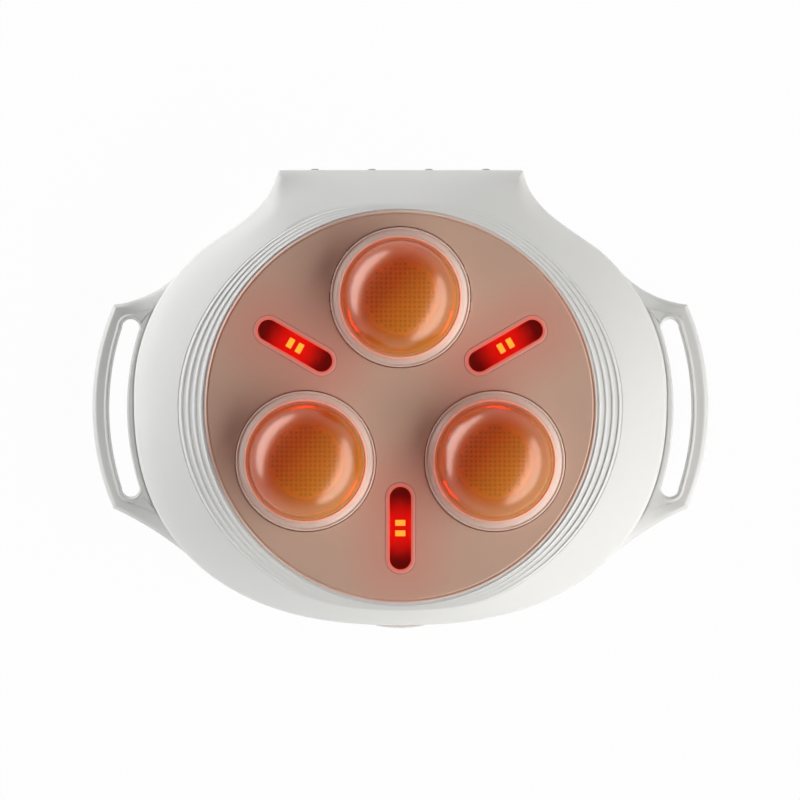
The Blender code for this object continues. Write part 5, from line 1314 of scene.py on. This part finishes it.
def heater_disc(name, middle):
    """Round plate with a grid of low dots, held still on the axle under the dome."""
    profile = [
        (HEATER_BORE, HEATER_TOP_Z), (HEATER_RADIUS - HEATER_EDGE, HEATER_TOP_Z),
        (HEATER_RADIUS, HEATER_TOP_Z - HEATER_EDGE), (HEATER_RADIUS, HEATER_BOTTOM_Z + HEATER_EDGE),
        (HEATER_RADIUS - HEATER_EDGE, HEATER_BOTTOM_Z), (HEATER_BORE, HEATER_BOTTOM_Z),
    ]
    disc = turned("heater_disc_" + name, profile, HEAD_STEPS, middle, closed=False)
    span = HEATER_DOT_PITCH * (HEATER_DOT_ROWS - 1) / 2
    foot = (middle[0] - span, middle[1] - span, HEATER_TOP_Z - HEATER_DOT_HEIGHT)
    top = (foot[0], foot[1], HEATER_TOP_Z + HEATER_DOT_HEIGHT)
    dots = rod("dots_" + name, HEATER_DOT_RADIUS, foot, top, 10)
    for offset in ((HEATER_DOT_PITCH, 0, 0), (0, HEATER_DOT_PITCH, 0)):
        apply_modifier(
            dots, "ARRAY", count=HEATER_DOT_ROWS, use_relative_offset=False, use_constant_offset=True,
            constant_offset_displace=offset,
        )

    def outside_grid(place):
        column = round((place.x - foot[0]) / HEATER_DOT_PITCH) * HEATER_DOT_PITCH - span
        row = round((place.y - foot[1]) / HEATER_DOT_PITCH) * HEATER_DOT_PITCH - span
        return math.hypot(column, row) > HEATER_DOT_REACH

    edit(dots)
    select_verts(dots, outside_grid)
    bpy.ops.mesh.delete(type="VERT")
    leave_edit()
    make_active(disc)
    dots.select_set(True)
    bpy.ops.object.join()
    finished(disc, HEATER[name], "case", "heater", "heater_plate_" + name)


def kneading_heads():
    for name in HEAD_TURNS:
        middle = head_middle(name)
        skirt = turned("skirt_ring_" + name, skirt_profile(), HEAD_STEPS, middle)
        finished(skirt, SILICONE, "head_" + name, "skirt", "head_skirt_" + name)
        dome = turned("amber_dome_" + name, dome_profile(), HEAD_STEPS, middle, closed=False)
        finished(dome, AMBER[name], "head_" + name, "dome", "head_dome_" + name)
        heater_disc(name, middle)


# Light windows

def light_windows():
    for side in WINDOW_TURNS:
        grow = 2 * (WINDOW_RIM_WIDTH - WINDOW_RIM_GAP)
        low = PANEL_TOP_Z - WINDOW_RIM_DEPTH + WINDOW_RIM_GAP / 2
        top = PANEL_TOP_Z + WINDOW_RIM_PROUD
        rim = stadium("window_rim_" + side, side, WINDOW_LENGTH + grow, WINDOW_WIDTH + grow, low, top)
        inner = stadium("inside_" + side, side, WINDOW_LENGTH, WINDOW_WIDTH, low - OVERRUN, top + OVERRUN)
        cut(rim, inner)
        round_edges(rim, WINDOW_RIM_EDGE)
        finished(rim, RIM, "case", "panel")
        length, width = WINDOW_LENGTH - 2 * LENS_CLEARANCE, WINDOW_WIDTH - 2 * LENS_CLEARANCE
        pane = stadium("window_pane_" + side, side, length, width, PANEL_BOTTOM_Z, LENS_TOP_Z)
        round_edges(pane, LENS_EDGE)
        finished(pane, PANE, "case", "red_lens", "window_lens_" + side)
        light_strip(side)


def light_strip(side):
    """A narrow board with two lit chips across it."""
    low = (-STRIP_LENGTH / 2, -STRIP_WIDTH / 2, STRIP_BOTTOM_Z)
    strip = block("light_strip_" + side, low, (STRIP_LENGTH / 2, STRIP_WIDTH / 2, STRIP_TOP_Z))
    seat_on_window(strip, side)
    round_edges(strip, STRIP_EDGE, 2)
    finished(strip, LIT_STRIP, "case", "light_board", "light_board_" + side)
    for number, sign in enumerate((-1, 1)):
        middle = sign * CHIP_PITCH / 2
        low = (middle - CHIP_ALONG / 2, -CHIP_ACROSS / 2, STRIP_TOP_Z)
        high = (middle + CHIP_ALONG / 2, CHIP_ACROSS / 2, CHIP_TOP_Z)
        chip = block(f"light_chip_{side}_{number + 1}", low, high)
        seat_on_window(chip, side)
        round_edges(chip, CHIP_EDGE)
        finished(chip, CHIP, "case", "light_board")


# Buttons and plug

def button_keys():
    """Round keys with a small nub, a flange inside the wall and a stem towards the switch."""
    inside = NECK_TOP_Y - WALL - PARTING_GAP
    profile = [
        (0.5 * MM, NECK_TOP_Y + BUTTON_PROUD), (1.1 * MM, NECK_TOP_Y + 0.92 * BUTTON_PROUD),
        (1.5 * MM, NECK_TOP_Y + 0.6 * BUTTON_PROUD), (1.75 * MM, NECK_TOP_Y + 0.1 * BUTTON_PROUD),
        (2.1 * MM, NECK_TOP_Y - 0.12 * MM), (4.6 * MM, NECK_TOP_Y - 0.15 * MM),
        (5.2 * MM, NECK_TOP_Y - 0.3 * MM), (5.42 * MM, NECK_TOP_Y - 0.6 * MM),
        (BUTTON_RADIUS, NECK_TOP_Y - 1.1 * MM), (BUTTON_RADIUS, inside),
        (BUTTON_FLANGE_RADIUS, inside), (BUTTON_FLANGE_RADIUS, inside - BUTTON_FLANGE),
        (BUTTON_STEM_RADIUS, inside - BUTTON_FLANGE), (BUTTON_STEM_RADIUS, inside - BUTTON_STEM_REACH),
    ]
    for body, x in zip(BUTTON_BODIES, BUTTON_PLACES_X):
        rows = [
            [Vector((x + point.x, y, BUTTON_Z + point.y)) for point in ring(radius, 0, BUTTON_STEPS)]
            for radius, y in profile
        ]
        key = pulled("key_" + body, rows)
        finished(key, KEY_GREY, body + "_key", "button", body + "_button")


def port_cap():
    """Soft plug with a bowed face, a nail lip and a tongue for the socket."""
    face, back = BOTTOM_WALL_Y - PLUG_PROUD, BOTTOM_WALL_Y + PLUG_DEPTH
    plug = plug_slab("port_cap", 0, face, back)
    round_edges(plug, PLUG_EDGE, 4)
    edit(plug)
    for number in range(-PLUG_SLICES, PLUG_SLICES + 1):
        bpy.ops.mesh.select_all(action="SELECT")
        bpy.ops.mesh.bisect(plane_co=(number * MM, 0, 0), plane_no=(1, 0, 0))
    shape = bmesh.from_edit_mesh(plug.data)
    for vert in shape.verts:
        if vert.co.y < BOTTOM_WALL_Y:
            vert.co.y += PLUG_BOW * (2 * vert.co.x / PLUG_WIDTH) ** 2
    bmesh.update_edit_mesh(plug.data)
    leave_edit()
    half = TONGUE_WIDTH / 2
    low = (-half, back - PARTING_GAP, PLUG_Z - TONGUE_HEIGHT / 2)
    tongue = block("tongue", low, (half, back + TONGUE_LENGTH, PLUG_Z + TONGUE_HEIGHT / 2))
    combine(plug, tongue, "UNION")
    half = NAIL_GROOVE_WIDTH / 2
    low = (-half, face - MM, PLUG_Z + NAIL_GROOVE_RISE[0])
    groove = block("nail_groove", low, (half, face + NAIL_GROOVE_DEPTH, PLUG_Z + NAIL_GROOVE_RISE[1]))
    cut(plug, groove)
    finished(plug, PLUG_SOFT, "plug", "plug_silicone", "port_plug")


# Stage

def softbox(name, turn, rise, distance, width, height, power, colour, shape):
    """A softbox aimed at the panel, as SOFTBOXES describes it."""
    turn, rise = math.radians(turn), math.radians(rise)
    deselect()
    bpy.ops.object.light_add(type="AREA")
    lamp = bpy.context.object
    lamp.name = name
    lamp.data.shape = shape
    lamp.data.size = width
    lamp.data.size_y = height
    lamp.data.energy = power
    lamp.data.color = colour
    flat = distance * math.cos(rise)
    lamp.location = (flat * math.cos(turn), flat * math.sin(turn), distance * math.sin(rise))
    aim = Vector((0, 0, PANEL_TOP_Z)) - lamp.location
    lamp.rotation_euler = aim.to_track_quat("-Z", "Y").to_euler()
    lamp.visible_camera = False


def window_glow(side):
    """The red light that leaves a light window, on its way up past the heads."""
    turn = WINDOW_TURNS[side]
    deselect()
    bpy.ops.object.light_add(type="AREA")
    lamp = bpy.context.object
    lamp.name = "glow_" + side
    lamp.data.shape = "RECTANGLE"
    lamp.data.size = WINDOW_LENGTH - WINDOW_WIDTH
    lamp.data.size_y = WINDOW_WIDTH / 2
    lamp.data.energy = GLOW_WATTS
    lamp.data.color = (1.0, 0.03, 0.015)
    lamp.location = (WINDOW_ORBIT * math.cos(turn), WINDOW_ORBIT * math.sin(turn), PANEL_TOP_Z + GLOW_RISE)
    lamp.rotation_euler = (HALF_TURN, 0, turn)
    lamp.visible_camera = False
    lamp.visible_transmission = False


def seen_rays(tree):
    """1 for the rays that see the background: the camera's, reflections and what shines through glass."""
    path = add_node(tree, "ShaderNodeLightPath")
    seen = math_of(tree, "MAXIMUM", path.outputs["Is Camera Ray"], path.outputs["Is Glossy Ray"])
    return math_of(tree, "MAXIMUM", seen, path.outputs["Is Transmission Ray"])


def surroundings():
    """White walls, in gloss and through glass too, under a dim ceiling; an even low level as light."""
    world = bpy.data.worlds.new("studio")
    bpy.context.scene.world = world
    world.use_nodes = True
    tree = world.node_tree
    tree.nodes.clear()
    direction = add_node(tree, "ShaderNodeTexCoord").outputs["Generated"]
    height = add_node(tree, "ShaderNodeSeparateXYZ", {0: direction}).outputs["Z"]
    camera_ray = add_node(tree, "ShaderNodeLightPath").outputs["Is Camera Ray"]
    level = math_of(tree, "MAXIMUM", spread(tree, height, *CEILING_RISE, 1.0, CEILING_LEVEL), camera_ray)
    shown = add_node(tree, "ShaderNodeBackground", {"Color": opaque(PLAIN_WHITE), "Strength": level})
    even = add_node(tree, "ShaderNodeBackground", {"Color": (0.97, 0.98, 1.0, 1.0), "Strength": EVEN_LEVEL})
    both = add_node(tree, "ShaderNodeMixShader", {0: seen_rays(tree), 1: even.outputs[0], 2: shown.outputs[0]})
    add_node(tree, "ShaderNodeOutputWorld", {"Surface": both.outputs[0]})


def light_only(lamp, pieces):
    """Let a lamp light some pieces and leave the others alone."""
    group = bpy.data.collections.new(lamp + "_pieces")
    for piece in pieces:
        group.objects.link(piece)
    bpy.data.objects[lamp].light_linking.receiver_collection = group


def share_out_lamps():
    """The lamps at the button edge and the bottom light the case; panel and rings have less of the left one."""
    case_names = ("front_cover", "back_cover", "key_", "port_cap")
    ring_names = ("skirt_ring", "window_rim")
    meshes = [piece for piece in bpy.context.scene.objects if piece.type == "MESH"]
    rings = [piece for piece in meshes if piece.name.startswith(ring_names)]
    panel = [piece for piece in meshes if piece.name == "panel_disc"] + rings
    for lamp in ("top_soft", "bottom_soft"):
        light_only(lamp, [piece for piece in meshes if piece.name.startswith(case_names)])
    light_only("fill_panel", panel)
    light_only("fill_rings", rings)
    light_only("fill_left", [piece for piece in meshes if piece not in panel])


def floor():
    deselect()
    bpy.ops.mesh.primitive_plane_add(size=8, location=(0, 0, -0.1 * MM))
    ground = name_active("floor")
    made, tree, shader = new_finish("white_floor")
    mottle = noise(tree, object_place(tree), 3.0)
    paint = blend_colours(tree, mottle, (0.88, 0.88, 0.88), (0.9, 0.9, 0.9))
    connect(tree, shader, {"Roughness": 0.7, "Base Color": paint})
    glow = add_node(tree, "ShaderNodeEmission", {"Color": opaque(PLAIN_WHITE), "Strength": 1.0})
    share = math_of(tree, "MULTIPLY", seen_rays(tree), FLOOR_WHITE_SHARE)
    both = add_node(tree, "ShaderNodeMixShader", {0: share, 1: shader.outputs[0], 2: glow.outputs[0]})
    tree.links.new(both.outputs[0], tree.nodes["Material Output"].inputs["Surface"])
    ground.data.materials.append(made)


def camera():
    """Straight above the panel with a very long lens, framed as the photograph is."""
    deselect()
    bpy.ops.object.camera_add()
    eye = bpy.context.object
    eye.name = "camera"
    eye.data.lens = CAMERA_LENS
    eye.data.sensor_width = SENSOR_WIDTH
    distance = PHOTO_SIDE_PX * PIXEL * CAMERA_LENS / SENSOR_WIDTH
    middle_x = (PHOTO_SIDE_PX / 2 - PANEL_MIDDLE_PX[0]) * PIXEL
    middle_y = (PANEL_MIDDLE_PX[1] - PHOTO_SIDE_PX / 2) * PIXEL
    eye.location = (middle_x, middle_y, PANEL_TOP_Z + distance)
    eye.data.clip_start = 0.1
    eye.data.clip_end = 2 * distance
    bpy.context.scene.camera = eye


def dress_nodes():
    """Every construction node that stays gets the finish of its slot."""
    slots = {part["node"]: part["material_slot"] for part in frame["record"]["subparts"]}
    for name, slot in slots.items():
        piece = frame["nodes"][name]
        piece.data.materials.clear()
        piece.data.materials.append(SLOT_FINISHES[slot])


camera()
surroundings()
floor()
for name, settings in SOFTBOXES.items():
    softbox(name, *settings)
for side in WINDOW_TURNS:
    window_glow(side)
dress_nodes()
front_cover()
back_cover()
panel_disc()
kneading_heads()
light_windows()
button_keys()
port_cap()
share_out_lamps()
bpy.context.scene.view_settings.view_transform = "Standard"
